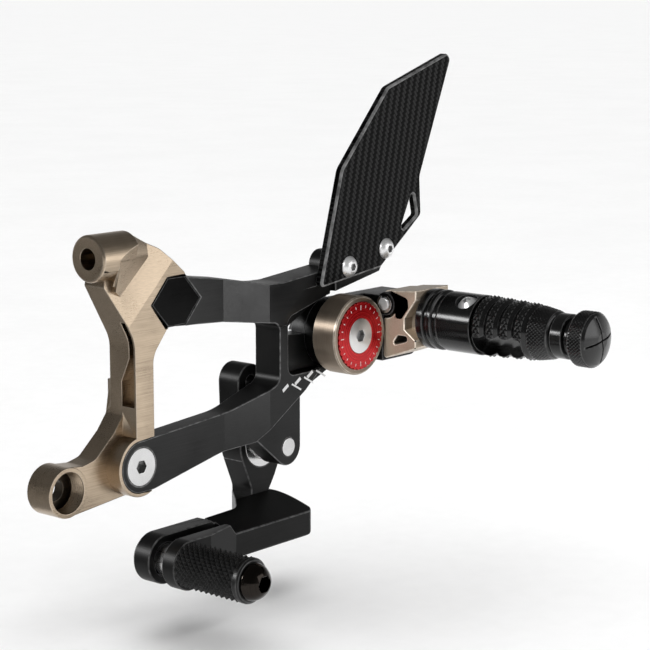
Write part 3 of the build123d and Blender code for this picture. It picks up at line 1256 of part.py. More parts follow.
with BuildPart() as toe_end_screw:
    screw_top = TOE_SCREW_OUT + TOE_SCREW_HEIGHT
    with BuildSketch(lengthwise(TOE_PEG_X, TOE_PEG_Z)):
        with BuildLine():
            Polyline(
                (screw_top, TOE_SCREW_FLAT_R),
                (screw_top, 0),
                (TOE_SCREW_REACH, 0),
                (TOE_SCREW_REACH, M5_R),
                (TOE_SCREW_OUT, M5_R),
                (TOE_SCREW_OUT, TOE_SCREW_R),
                (TOE_SCREW_OUT + TOE_SCREW_RIM, TOE_SCREW_R),
            )
            RadiusArc(
                (TOE_SCREW_OUT + TOE_SCREW_RIM, TOE_SCREW_R),
                (screw_top, TOE_SCREW_FLAT_R),
                TOE_SCREW_R,
            )
        make_face()
    revolve(axis=Axis((TOE_PEG_X, 0, TOE_PEG_Z), (0, -1, 0)))
    with BuildSketch(outboard(screw_top, TOE_PEG_X, TOE_PEG_Z)):
        RegularPolygon(TOE_SOCKET_ACROSS / 2, 6, major_radius=False)
    extrude(amount=-CSK_SOCKET_DEPTH, mode=Mode.SUBTRACT)
write(toe_end_screw, "toe_end_screw")
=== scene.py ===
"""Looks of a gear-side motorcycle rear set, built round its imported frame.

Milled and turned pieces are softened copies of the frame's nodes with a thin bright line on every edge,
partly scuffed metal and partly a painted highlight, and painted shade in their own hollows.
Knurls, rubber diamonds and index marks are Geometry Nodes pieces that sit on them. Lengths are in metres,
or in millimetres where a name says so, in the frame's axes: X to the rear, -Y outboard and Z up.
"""
import logging
import math
from dataclasses import dataclass, field
from enum import Enum
from functools import cache

import bmesh
import bpy
from bmesh.types import BMEdge, BMesh, BMFace
from bpy.types import ID, Material, Mesh, Node, NodeTree, Object
from bpy.types import NodeSocket as Socket
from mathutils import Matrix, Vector
from mathutils.bvhtree import BVHTree


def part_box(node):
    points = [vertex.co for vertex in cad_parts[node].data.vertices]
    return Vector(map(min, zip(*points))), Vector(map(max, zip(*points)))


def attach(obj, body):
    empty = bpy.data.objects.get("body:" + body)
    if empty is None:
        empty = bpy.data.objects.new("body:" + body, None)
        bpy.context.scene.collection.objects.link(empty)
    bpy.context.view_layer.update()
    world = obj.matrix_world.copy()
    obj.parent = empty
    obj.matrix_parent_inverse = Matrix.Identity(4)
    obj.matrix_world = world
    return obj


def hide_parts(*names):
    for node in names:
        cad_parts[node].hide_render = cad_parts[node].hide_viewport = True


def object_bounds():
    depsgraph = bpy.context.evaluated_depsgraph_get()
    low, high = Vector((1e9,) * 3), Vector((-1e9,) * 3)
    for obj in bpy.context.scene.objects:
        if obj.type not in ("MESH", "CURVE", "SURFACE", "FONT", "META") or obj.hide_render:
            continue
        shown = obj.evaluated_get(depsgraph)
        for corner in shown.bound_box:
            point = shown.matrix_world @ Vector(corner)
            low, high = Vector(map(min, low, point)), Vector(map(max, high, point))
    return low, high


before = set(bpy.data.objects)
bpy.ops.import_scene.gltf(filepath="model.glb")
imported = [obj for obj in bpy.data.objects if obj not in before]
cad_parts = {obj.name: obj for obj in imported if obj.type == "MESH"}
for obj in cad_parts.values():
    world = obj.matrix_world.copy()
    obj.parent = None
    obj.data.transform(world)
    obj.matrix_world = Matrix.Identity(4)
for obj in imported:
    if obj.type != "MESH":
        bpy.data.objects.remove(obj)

CAD_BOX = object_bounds()
MM = 0.001
# How far the rays reach that mark painted shade in sockets and pockets.
SOCKET_SHADE_REACH_MM = 6.0
FLAT = math.radians(0.5)
NEAR = 0.02 * MM
NO_GAP = -1.0
LOG = logging.getLogger("rear_set")
NUMBER, WHOLE, VECTOR = "NodeSocketFloat", "NodeSocketInt", "NodeSocketVector"
PAINT, SHAPE = "NodeSocketMaterial", "NodeSocketGeometry"

Colour = tuple[float, float, float, float]
Place = tuple[float, float, float]
Pair = tuple[float, float]
Input = float | int | tuple | Socket | Material
Inputs = dict[str | int, Input]
Sockets = dict[str, str]


def grey(level: float) -> Colour:
    """An even grey of a linear level."""
    return (level, level, level, 1.0)


class Body(Enum):
    """Rigid bodies of the frame that pieces ride on."""

    PLATE = "plate"
    CARRIER = "carrier"
    PEG = "peg"
    LEVER = "lever"
    TOE = "toe"


class Grain(Enum):
    """Way that the fine machining lines of a metal run."""

    LENGTHWISE = 0.0
    AROUND = 1.0


class Kind(Enum):
    """What a mix node mixes, numbered as its sockets are."""

    FLOAT = 0
    VECTOR = 1
    RGBA = 2


class Reach(Enum):
    """Whether a lamp lights only the pieces that it names or all others."""

    ONLY = "INCLUDE"
    ALL_BUT = "EXCLUDE"


class Bench:
    """A node tree with short ways to place and join nodes."""

    def __init__(self, tree: NodeTree) -> None:
        """Work on one tree."""
        self.tree = tree

    def fill(self, node: Node, inputs: Inputs) -> None:
        """Set inputs of a node to constants or join them to sockets.

        Args:
            node: The node.
            inputs: For an input's name or number, a constant or the socket that feeds it.
        """
        for key, value in inputs.items():
            if isinstance(value, Socket):
                self.tree.links.new(value, node.inputs[key])
            else:
                node.inputs[key].default_value = value

    def node(self, kind: str, inputs: Inputs | None = None, **settings: object) -> Node:
        """Place a node.

        Args:
            kind: Blender's name of the node's type.
            inputs: For an input's name or number, a constant or the socket that feeds it.
            settings: The node's own options.

        Returns:
            The new node.
        """
        placed = self.tree.nodes.new(kind)
        for name, value in settings.items():
            setattr(placed, name, value)
        self.fill(placed, inputs or {})
        return placed

    def math(self, operation: str, *terms: Input) -> Socket:
        """Place a sum on up to three numbers, named as Blender names it, and give its result."""
        return self.node("ShaderNodeMath", dict(enumerate(terms)), operation=operation).outputs[0]

    def vector(self, operation: str, *terms: Input) -> Socket:
        """Place a sum on vectors, named as Blender names it, and give its vector or its length."""
        placed = self.node("ShaderNodeVectorMath", dict(enumerate(terms)), operation=operation)
        return placed.outputs["Value" if operation == "LENGTH" else "Vector"]

    def scaled(self, way: Input, length: Input) -> Socket:
        """Multiply a vector by a number."""
        return self.node("ShaderNodeVectorMath", {0: way, "Scale": length}, operation="SCALE").outputs[0]

    def mix(self, amount: Input, first: Input, second: Input, kind: Kind = Kind.RGBA) -> Socket:
        """Mix two colours, vectors or numbers, from the first at 0 to the second at 1."""
        sockets = {0: amount, 2 + 2 * kind.value: first, 3 + 2 * kind.value: second}
        return self.node("ShaderNodeMix", sockets, data_type=kind.name).outputs[kind.value]

    def span(self, value: Input, low: float, high: float, start: float = 0.0, end: float = 1.0) -> Socket:
        """Map a number's range from low to high on to one from start to end, held at its ends."""
        return self.node("ShaderNodeMapRange", {0: value, 1: low, 2: high, 3: start, 4: end}).outputs[0]

    def point(self, x: Input = 0.0, y: Input = 0.0, z: Input = 0.0) -> Socket:
        """Join three numbers to a vector."""
        return self.node("ShaderNodeCombineXYZ", {0: x, 1: y, 2: z}).outputs[0]

    def place(self) -> Socket:
        """The shaded point in the piece's own axes."""
        return self.node("ShaderNodeTexCoord").outputs["Object"]

    def noise(self, place: Input, scale: Input, detail: float, roughness: float = 0.5) -> Socket:
        """Even noise round a half at a place, of so many waves to the metre, with finer waves on them."""
        inputs = {"Vector": place, "Scale": scale, "Detail": detail, "Roughness": roughness}
        return self.node("ShaderNodeTexNoise", inputs).outputs[0]

    def mark(self, name: str) -> Socket:
        """A number that the piece's mesh carries."""
        return self.node("ShaderNodeAttribute", attribute_name=name).outputs["Fac"]

    def bump(self, strength: float, depth: float, height: Input) -> Socket:
        """Normals of a fine relief."""
        inputs = {"Strength": strength, "Distance": depth, "Height": height}
        return self.node("ShaderNodeBump", inputs).outputs[0]


class Group(Bench):
    """A group of nodes with inputs and outputs of its own."""

    def __init__(self, name: str, inputs: Sockets, outputs: Sockets, kind: str = "ShaderNodeTree") -> None:
        """Start the group.

        Args:
            name: The group's name.
            inputs: Names and socket types of its inputs.
            outputs: Names and socket types of its outputs.
            kind: Blender's name of the tree's type.
        """
        super().__init__(bpy.data.node_groups.new(name, kind))
        for way, sockets in (("INPUT", inputs), ("OUTPUT", outputs)):
            for label, socket in sockets.items():
                self.tree.interface.new_socket(name=label, in_out=way, socket_type=socket)
        self.given = self.node("NodeGroupInput").outputs
        self.out = self.node("NodeGroupOutput")

    def close(self, results: Inputs) -> NodeTree:
        """Feed the group's outputs and give its tree."""
        self.fill(self.out, results)
        return self.tree


class Tools:
    """Shader node groups that several finishes share, each built once."""

    LINE_STRETCH = (0.02, 1.0, 1.0)
    ROUND_AXIS = (1.0, 0.0, 1.0)
    LINE_SPAN = (0.3, 0.7)
    CLOUDS_PER_METRE = 55.0
    CLOUD_SPAN = (0.32, 0.68)
    WEAR_AND_HIGHLIGHT_SPAN = (0.36, 0.62, 0.35, 1.0)

    @staticmethod
    @cache
    def machining() -> NodeTree:
        """Fine machining lines, along X or round an axis along Y, and a slow cloud.

        Returns:
            The group, with outputs Line and Cloud from 0 to 1.
        """
        inputs = {"Centre": VECTOR, "Around": NUMBER, "Pitch": NUMBER}
        bench = Group("Machining lines", inputs, {"Line": NUMBER, "Cloud": NUMBER})
        given, place = bench.given, bench.place()
        along = bench.vector("MULTIPLY", place, Tools.LINE_STRETCH)
        offset = bench.vector("SUBTRACT", place, given["Centre"])
        offset = bench.vector("MULTIPLY", offset, Tools.ROUND_AXIS)
        height = bench.node("ShaderNodeSeparateXYZ", {0: place}).outputs["Y"]
        around = bench.point(bench.vector("LENGTH", offset), height)
        chosen = bench.mix(given["Around"], along, around, Kind.VECTOR)
        fine = bench.scaled(chosen, bench.math("DIVIDE", 1.0, given["Pitch"]))
        lines = bench.noise(fine, 1.0, detail=3.0, roughness=0.65)
        cloud = bench.noise(place, Tools.CLOUDS_PER_METRE, detail=3.0, roughness=0.55)
        return bench.close({
            "Line": bench.span(lines, *Tools.LINE_SPAN), "Cloud": bench.span(cloud, *Tools.CLOUD_SPAN),
        })

    @staticmethod
    @cache
    def wear() -> NodeTree:
        """Bright line along the edges that the softened copies mark, broken up by noise: partly scuffed
        metal and partly a painted highlight.

        Returns:
            The group, with the output Mask from 0 to 1.
        """
        bench = Group("Edge wear", {"Amount": NUMBER, "Scale": NUMBER}, {"Mask": NUMBER})
        noise = bench.noise(bench.place(), bench.given["Scale"], detail=4.0)
        edge = bench.math("MULTIPLY", bench.mark("edge"), bench.span(noise, *Tools.WEAR_AND_HIGHLIGHT_SPAN))
        return bench.close({"Mask": bench.math("MULTIPLY", edge, bench.given["Amount"])})

    @staticmethod
    @cache
    def twill() -> NodeTree:
        """Two-over-two twill weave in the plane of X and Z.

        Returns:
            The group, with outputs Over (0 or 1 for the two ways of a tow) and Crown (height across a tow).
        """
        bench = Group("Twill weave", {"Tow": NUMBER, "Turn": NUMBER}, {"Over": NUMBER, "Crown": NUMBER})
        inputs = {"Vector": bench.place(), "Angle": bench.given["Turn"]}
        turned = bench.node("ShaderNodeVectorRotate", inputs, rotation_type="Y_AXIS").outputs[0]
        parts = bench.node("ShaderNodeSeparateXYZ", {0: turned}).outputs
        cells = [bench.math("DIVIDE", parts[axis], bench.given["Tow"]) for axis in ("X", "Z")]
        step = bench.math("SUBTRACT", *(bench.math("FLOOR", cell) for cell in cells))
        over = bench.math("LESS_THAN", bench.math("FLOORED_MODULO", step, 4.0), 1.5)
        crowns = []
        for cell in cells:
            middle = bench.math("SUBTRACT", bench.math("FRACT", cell), 0.5)
            crowns.append(bench.math("MULTIPLY_ADD", bench.math("MULTIPLY", middle, middle), -4.0, 1.0))
        return bench.close({"Over": over, "Crown": bench.mix(over, crowns[1], crowns[0], Kind.FLOAT)})


@dataclass(frozen=True)
class Finish:
    """A material with a name of its own."""

    name: str

    @cache
    def material(self) -> Material:
        """Build the material once.

        Returns:
            The material.
        """
        material = bpy.data.materials.new(self.name)
        material.use_nodes = True
        self.dress(Bench(material.node_tree), material.node_tree.nodes["Principled BSDF"])
        return material

    def dress(self, bench: Bench, shader: Node) -> None:
        """Set up the shader, as each kind of finish does in its own way."""
        raise NotImplementedError


@dataclass(frozen=True)
class Metal(Finish):
    """Milled or turned metal with machining lines, slow tone changes, edges that are partly scuffed and
    partly carry a painted highlight, and painted shade in hollows.
    """

    dark: Colour
    light: Colour
    # The colour of the edge line: partly scuffed metal, partly a painted highlight.
    worn_and_highlit: Colour
    roughness: float
    metallic: float = 1.0
    grain: Grain = Grain.LENGTHWISE
    centre: Place = (0.0, 0.0, 0.0)
    pitch: float = 0.38 * MM
    relief: float = 0.28
    relief_depth: float = 0.05 * MM
    wear: float = 0.7
    wear_and_highlight_scale: float = 420.0
    cloud_share: float = 0.45
    uneven: Pair = (0.8, 1.25)
    # Painted shade: its colour, and the span of the shut-in share that darkens towards it.
    recess: Colour = grey(0.006)
    painted_shade_span: Pair = (0.25, 0.85)
    specular: float = 0.5
    brushed: float = 0.0
    brush_turn: float = 0.25

    def dress(self, bench: Bench, shader: Node) -> None:
        """Tone, roughness and relief from the machining lines, with edges that are partly scuffed and
        partly carry a painted highlight, and painted shade in hollows.

        Args:
            bench: The material's bench.
            shader: Its shader.
        """
        inputs = {"Centre": self.centre, "Around": self.grain.value, "Pitch": self.pitch}
        lines = bench.node("ShaderNodeGroup", inputs, node_tree=Tools.machining()).outputs
        inputs = {"Amount": self.wear, "Scale": self.wear_and_highlight_scale}
        worn_and_highlit = bench.node("ShaderNodeGroup", inputs, node_tree=Tools.wear()).outputs["Mask"]
        tone = bench.mix(self.cloud_share, lines["Line"], lines["Cloud"], Kind.FLOAT)
        # Edge line: partly scuffed metal, partly a painted highlight.
        body = bench.mix(worn_and_highlit, bench.mix(tone, self.dark, self.light), self.worn_and_highlit)
        bench.fill(shader, {
            # Painted shade: faces that the piece itself shuts in are darkened.
            "Base Color": bench.mix(bench.span(bench.mark("recess"), *self.painted_shade_span), body, self.recess),
            "Roughness": bench.span(tone, 0.0, 1.0, *(self.roughness * share for share in self.uneven)),
            "Normal": bench.bump(self.relief, self.relief_depth, lines["Line"]),
            "Metallic": self.metallic,
            "Specular IOR Level": self.specular,
        })
        if self.brushed:
            self.comb(bench, shader)

    def comb(self, bench: Bench, shader: Node) -> None:
        """Stretch highlights across lines that run round the finish's centre.

        Args:
            bench: The material's bench.
            shader: Its shader.
        """
        offset = bench.vector("SUBTRACT", bench.place(), self.centre)
        around = bench.vector("CROSS_PRODUCT", (0.0, 1.0, 0.0), offset)
        facing = bench.node(
            "ShaderNodeVectorTransform", {0: around}, vector_type="VECTOR", convert_from="OBJECT",
            convert_to="WORLD",
        )
        bench.fill(shader, {
            "Tangent": bench.vector("NORMALIZE", facing.outputs[0]),
            "Anisotropic": self.brushed,
            "Anisotropic Rotation": self.brush_turn,
        })


@dataclass(frozen=True)
class CarbonTwill(Finish):
    """Carbon cloth under clear coat."""

    tow: float
    turn: float
    # The two tow tones are painted sheen: warp and weft of one black fibre catch the light differently.
    warp: Colour
    weft: Colour
    # The colour of the edge line: partly scuffed cloth, partly a painted highlight.
    worn_and_highlit: Colour
    # Painted shade across the round of each tow, darkest at its edges.
    gap: Colour = grey(0.004)
    tow_shade_span: Pair = (0.0, 0.7)
    wear: float = 0.8
    wear_and_highlight_scale: float = 300.0
    warp_roughness: float = 0.28
    weft_roughness: float = 0.42
    relief: float = 0.35
    relief_depth: float = 0.12 * MM
    specular: float = 0.035
    coat: float = 0.03
    coat_roughness: float = 0.12

    def dress(self, bench: Bench, shader: Node) -> None:
        """Two tones of tow as painted sheen, painted shade towards the edges of each tow, and edges that
        are partly scuffed and partly carry a painted highlight.

        Args:
            bench: The material's bench.
            shader: Its shader.
        """
        inputs = {"Tow": self.tow, "Turn": self.turn}
        weave = bench.node("ShaderNodeGroup", inputs, node_tree=Tools.twill()).outputs
        inputs = {"Amount": self.wear, "Scale": self.wear_and_highlight_scale}
        worn_and_highlit = bench.node("ShaderNodeGroup", inputs, node_tree=Tools.wear()).outputs["Mask"]
        # Painted sheen: one tone for each way that the tows run.
        cloth = bench.mix(weave["Over"], self.weft, self.warp)
        # Painted shade towards the edges of each tow.
        shaded = bench.mix(bench.span(weave["Crown"], *self.tow_shade_span), self.gap, cloth)
        bench.fill(shader, {
            # Edge line: partly scuffed cloth, partly a painted highlight.
            "Base Color": bench.mix(worn_and_highlit, shaded, self.worn_and_highlit),
            "Roughness": bench.span(weave["Over"], 0.0, 1.0, self.weft_roughness, self.warp_roughness),
            "Normal": bench.bump(self.relief, self.relief_depth, weave["Crown"]),
            "Specular IOR Level": self.specular,
            "Coat Weight": self.coat,
            "Coat Roughness": self.coat_roughness,
        })


@dataclass(frozen=True)
class Matte(Finish):
    """Rubber, ink or paint: a matte skin with a fine speckle and a slow cloud."""

    dark: Colour
    light: Colour
    roughness: float
    speckle: float
    relief: float = 0.2
    specular: float = 0.5
    cloud: float = 0.08
    tone_span: Pair = (0.38, 0.62)
    rough_span: Pair = (0.3, 0.7)
    uneven: Pair = (0.88, 1.1)
    relief_share: float = 0.4

    def dress(self, bench: Bench, shader: Node) -> None:
        """Tone and roughness from both noises, and relief from the fine one.

        Args:
            bench: The material's bench.
            shader: Its shader.
        """
        place = bench.place()
        fine = bench.noise(place, 1.0 / self.speckle, detail=5.0)
        slow = bench.noise(place, self.cloud / self.speckle, detail=2.0)
        tone = bench.math("MULTIPLY", bench.math("ADD", fine, slow), 0.5)
        bench.fill(shader, {
            "Base Color": bench.mix(bench.span(tone, *self.tone_span), self.dark, self.light),
            "Roughness": bench.span(
                tone, *self.rough_span, *(self.roughness * share for share in self.uneven)
            ),
            "Normal": bench.bump(self.relief, self.speckle * self.relief_share, fine),
            "Specular IOR Level": self.specular,
        })


def axis_of(node: str) -> Place:
    """Middle of a frame node's box, which lies on its axis if it is round."""
    low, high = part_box(node)
    return tuple((low + high) / 2)


# Each metal's third colour is its edge line, partly scuffed metal and partly a painted highlight.
BRONZE = Metal("milled_bronze", (0.29, 0.230, 0.168, 1), (0.56, 0.450, 0.335, 1), (0.66, 0.58, 0.48, 1),
               0.30, wear=0.4)
BRONZE_TURNED = Metal("turned_bronze", (0.22, 0.178, 0.138, 1), (0.44, 0.362, 0.288, 1),
                      (0.76, 0.69, 0.60, 1), 0.46, grain=Grain.AROUND, centre=axis_of("adjuster_barrel"),
                      brushed=0.93)
BRONZE_TRUSS = Metal("truss_bronze", (0.30, 0.245, 0.185, 1), (0.52, 0.430, 0.335, 1),
                     (0.90, 0.81, 0.69, 1), 0.42, metallic=0.6, wear=0.8)
BLACK = Metal("satin_black", grey(0.002), grey(0.009), grey(0.18), 0.34, metallic=0.0, relief=0.16,
              specular=0.13)
BLACK_CAP = Metal("cap_black", grey(0.002), grey(0.005), grey(0.16), 0.20, metallic=0.0, relief=0.05,
                  wear=0.8, specular=0.06)
BLACK_TURNED = Metal("turned_black", grey(0.002), grey(0.007), grey(0.13), 0.20, metallic=0.0, relief=0.10,
                     grain=Grain.AROUND, centre=axis_of("peg_grip"), wear=0.6, specular=0.5, brushed=0.6)
BLACK_TOE = Metal("washer_black", grey(0.004), grey(0.010), grey(0.12), 0.28, metallic=0.0, relief=0.08,
                  grain=Grain.AROUND, centre=axis_of("toe_end_washer"), wear=0.5, specular=0.3)
DARK_STEEL = Metal("screw_dark", (0.012, 0.010, 0.009, 1), (0.035, 0.030, 0.026, 1), grey(0.25), 0.12,
                   grain=Grain.AROUND, centre=axis_of("toe_end_screw"), relief=0.05, wear=0.5)
RED = Metal("ring_red", (0.36, 0.003, 0.006, 1), (0.60, 0.008, 0.012, 1), (0.9, 0.10, 0.09, 1), 0.26,
            metallic=0.6, grain=Grain.AROUND, centre=axis_of("index_ring"), relief=0.10, wear=0.5)
STEEL = Metal("bright_steel", grey(0.45), grey(0.70), grey(0.95), 0.20, pitch=0.2 * MM, relief=0.06,
              wear=0.6)
STEEL_RING = Metal("faced_steel", grey(0.66), grey(0.92), grey(0.95), 0.30, grain=Grain.AROUND,
                   centre=axis_of("clamp_bolt"), pitch=0.2 * MM, relief=0.10, wear=0.6, brushed=0.7)
STEEL_DOME = Metal("domed_steel", grey(0.66), grey(0.86), grey(0.95), 0.30, metallic=0.75, pitch=0.2 * MM,
                   relief=0.05, wear=0.6)
STEEL_LOWER = Metal("faced_steel_lower", grey(0.48), grey(0.74), grey(0.95), 0.22, grain=Grain.AROUND,
                    centre=axis_of("lower_plate_bolt"), pitch=0.2 * MM, relief=0.10, wear=0.6)
# The carbon's two tow tones are painted sheen, and its third colour is the edge line, partly scuffed cloth
# and partly a painted highlight.
CARBON = CarbonTwill("carbon_cloth", 1.5 * MM, math.radians(33.0), grey(0.027), grey(0.002), grey(0.42))
RUBBER = Matte("moulded_rubber", grey(0.006), grey(0.016), 0.58, 0.25 * MM, specular=0.25)
INK = Matte("white_ink", grey(0.72), grey(0.86), 0.55, 0.12 * MM, relief=0.05)
CARD = Matte("grey_card", grey(0.22), grey(0.26), 0.9, 2.0 * MM, relief=0.02, specular=0.1)
FLOOR = Matte("pale_floor", grey(0.82), grey(0.845), 0.8, 9.0 * MM, relief=0.02)


def put(name: str, data: ID) -> Object:
    """Put a mesh, a light or a camera in the scene.

    Args:
        name: The object's name.
        data: What it shows.

    Returns:
        The object, at the origin.
    """
    placed = bpy.data.objects.new(name, data)
    bpy.context.scene.collection.objects.link(placed)
    return placed


def coat(mesh: Mesh, finish: Finish) -> None:
    """Give a mesh one finish in place of any that it has."""
    mesh.materials.clear()
    mesh.materials.append(finish.material())


def paint(node: str, finish: Finish) -> None:
    """Give a frame node its finish and keep its shape."""
    coat(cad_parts[node].data, finish)
    LOG.info("%s: painted %s", node, finish.name)


def merge_flats(work: BMesh) -> None:
    """Join the triangles of each flat to one face and shade all faces smoothly.

    Args:
        work: The faces.
    """
    bmesh.ops.dissolve_limit(work, angle_limit=FLAT, verts=work.verts, edges=work.edges)
    for face in work.faces:
        face.smooth = True


def keep(name: str, work: BMesh, finish: Finish, body: Body) -> Object:
    """Turn worked faces into a piece that shades smoothly between its creases, with its flats kept flat.

    Args:
        name: The piece's name.
        work: Its faces, which are freed.
        finish: Its finish.
        body: The body that it rides on.

    Returns:
        The piece.
    """
    mesh = bpy.data.meshes.new(name)
    work.to_mesh(mesh)
    work.free()
    coat(mesh, finish)
    piece = put(name, mesh)
    piece.modifiers.new("Even normals", "WEIGHTED_NORMAL").keep_sharp = True
    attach(piece, body.value)
    LOG.info("%s: %d faces", name, len(mesh.polygons))
    return piece


@dataclass
class Softened:
    """A copy of a frame node with its outer edges rounded and marked for an edge line, partly scuffed metal
    and partly a painted highlight, and, when its reach is above zero, its hollows marked for painted shade.
    """

    node: str
    finish: Finish
    round_mm: float
    body: Body
    steps: int = 2
    crease_deg: float = 10.2
    sharp_deg: float = 28.0
    # Share of the edge line, partly scuffed and partly a painted highlight, on faces that slope outboard.
    chamfer_wear_and_highlight: float = 0.0
    chamfer_slope: Pair = (0.3, 0.9)
    stray_mm: float = 0.2
    # How far the rays reach that mark painted shade in the piece's hollows; zero marks none.
    shade_reach_mm: float = 3.5
    rays: int = 8

    def build(self) -> Object:
        """Make the copy and let it stand for the node.

        Returns:
            The piece.
        """
        work = bmesh.new()
        work.from_mesh(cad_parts[self.node].data)
        bmesh.ops.remove_doubles(work, verts=work.verts, dist=NEAR)
        merge_flats(work)
        worn_and_highlit = work.faces.layers.float.new("edge")
        # Faces that look partly outboard get part of the edge line: partly scuffed, partly a painted
        # highlight.
        steep, shallow = self.chamfer_slope
        for face in work.faces:
            face[worn_and_highlit] = self.chamfer_wear_and_highlight if steep < -face.normal.y < shallow else 0.0
        surface = BVHTree.FromBMesh(work)
        rounded = bmesh.ops.bevel(
            work, geom=self.outer_edges(work), offset=self.round_mm * MM, offset_type="OFFSET",
            segments=self.steps, profile=0.5, affect="EDGES", clamp_overlap=False,
        )["faces"]
        for face in rounded:
            face[worn_and_highlit] = 1.0
        for corner in work.verts:
            place, _, _, gap = surface.find_nearest(corner.co)
            if gap > self.stray_mm * MM:
                corner.co = place
        self.mark_creases(work, set(rounded))
        # Painted shade in the piece's own hollows.
        if self.shade_reach_mm:
            self.mark_painted_shade(work)
        piece = keep(f"{self.node}_skin", work, self.finish, self.body)
        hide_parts(self.node)
        return piece

    def outer_edges(self, work: BMesh) -> list[BMEdge]:
        """Pick the edges that stand out and are sharp."""
        sharp = math.radians(self.sharp_deg)
        return [edge for edge in work.edges if edge.is_convex and edge.calc_face_angle(0.0) > sharp]

    def mark_creases(self, work: BMesh, rounded: set[BMFace]) -> None:
        """Keep every fold between two flats crisp, out across the rounded edges where it ends.

        Args:
            work: The piece's mesh.
            rounded: The faces of the rounded edges.
        """
        work.normal_update()
        crease = math.radians(self.crease_deg)
        for edge in work.edges:
            edge.smooth = edge.calc_face_angle(0.0) < crease or not rounded.isdisjoint(edge.link_faces)
        ends = [corner for corner in work.verts if sum(not edge.smooth for edge in corner.link_edges) == 1]
        for edge in (edge for corner in ends for edge in corner.link_edges):
            if rounded.issuperset(edge.link_faces):
                edge.smooth = False

    def mark_painted_shade(self, work: BMesh) -> None:
        """Note on each face how closely the piece itself shuts it in, as in a socket: the share of painted
        shade that it gets.

        Args:
            work: The piece's mesh.
        """
        shade_marks = work.faces.layers.float.new("recess")
        work.normal_update()
        tree = BVHTree.FromBMesh(work)
        for face in work.faces:
            start = face.calc_center_median() + face.normal * NEAR
            side = face.normal.orthogonal().normalized()
            other = face.normal.cross(side)
            hits = 0
            for step in range(self.rays):
                turn = math.tau * step / self.rays
                aim = face.normal + side * math.cos(turn) + other * math.sin(turn)
                hits += tree.ray_cast(start, aim, self.shade_reach_mm * MM)[0] is not None
            face[shade_marks] = hits / self.rays


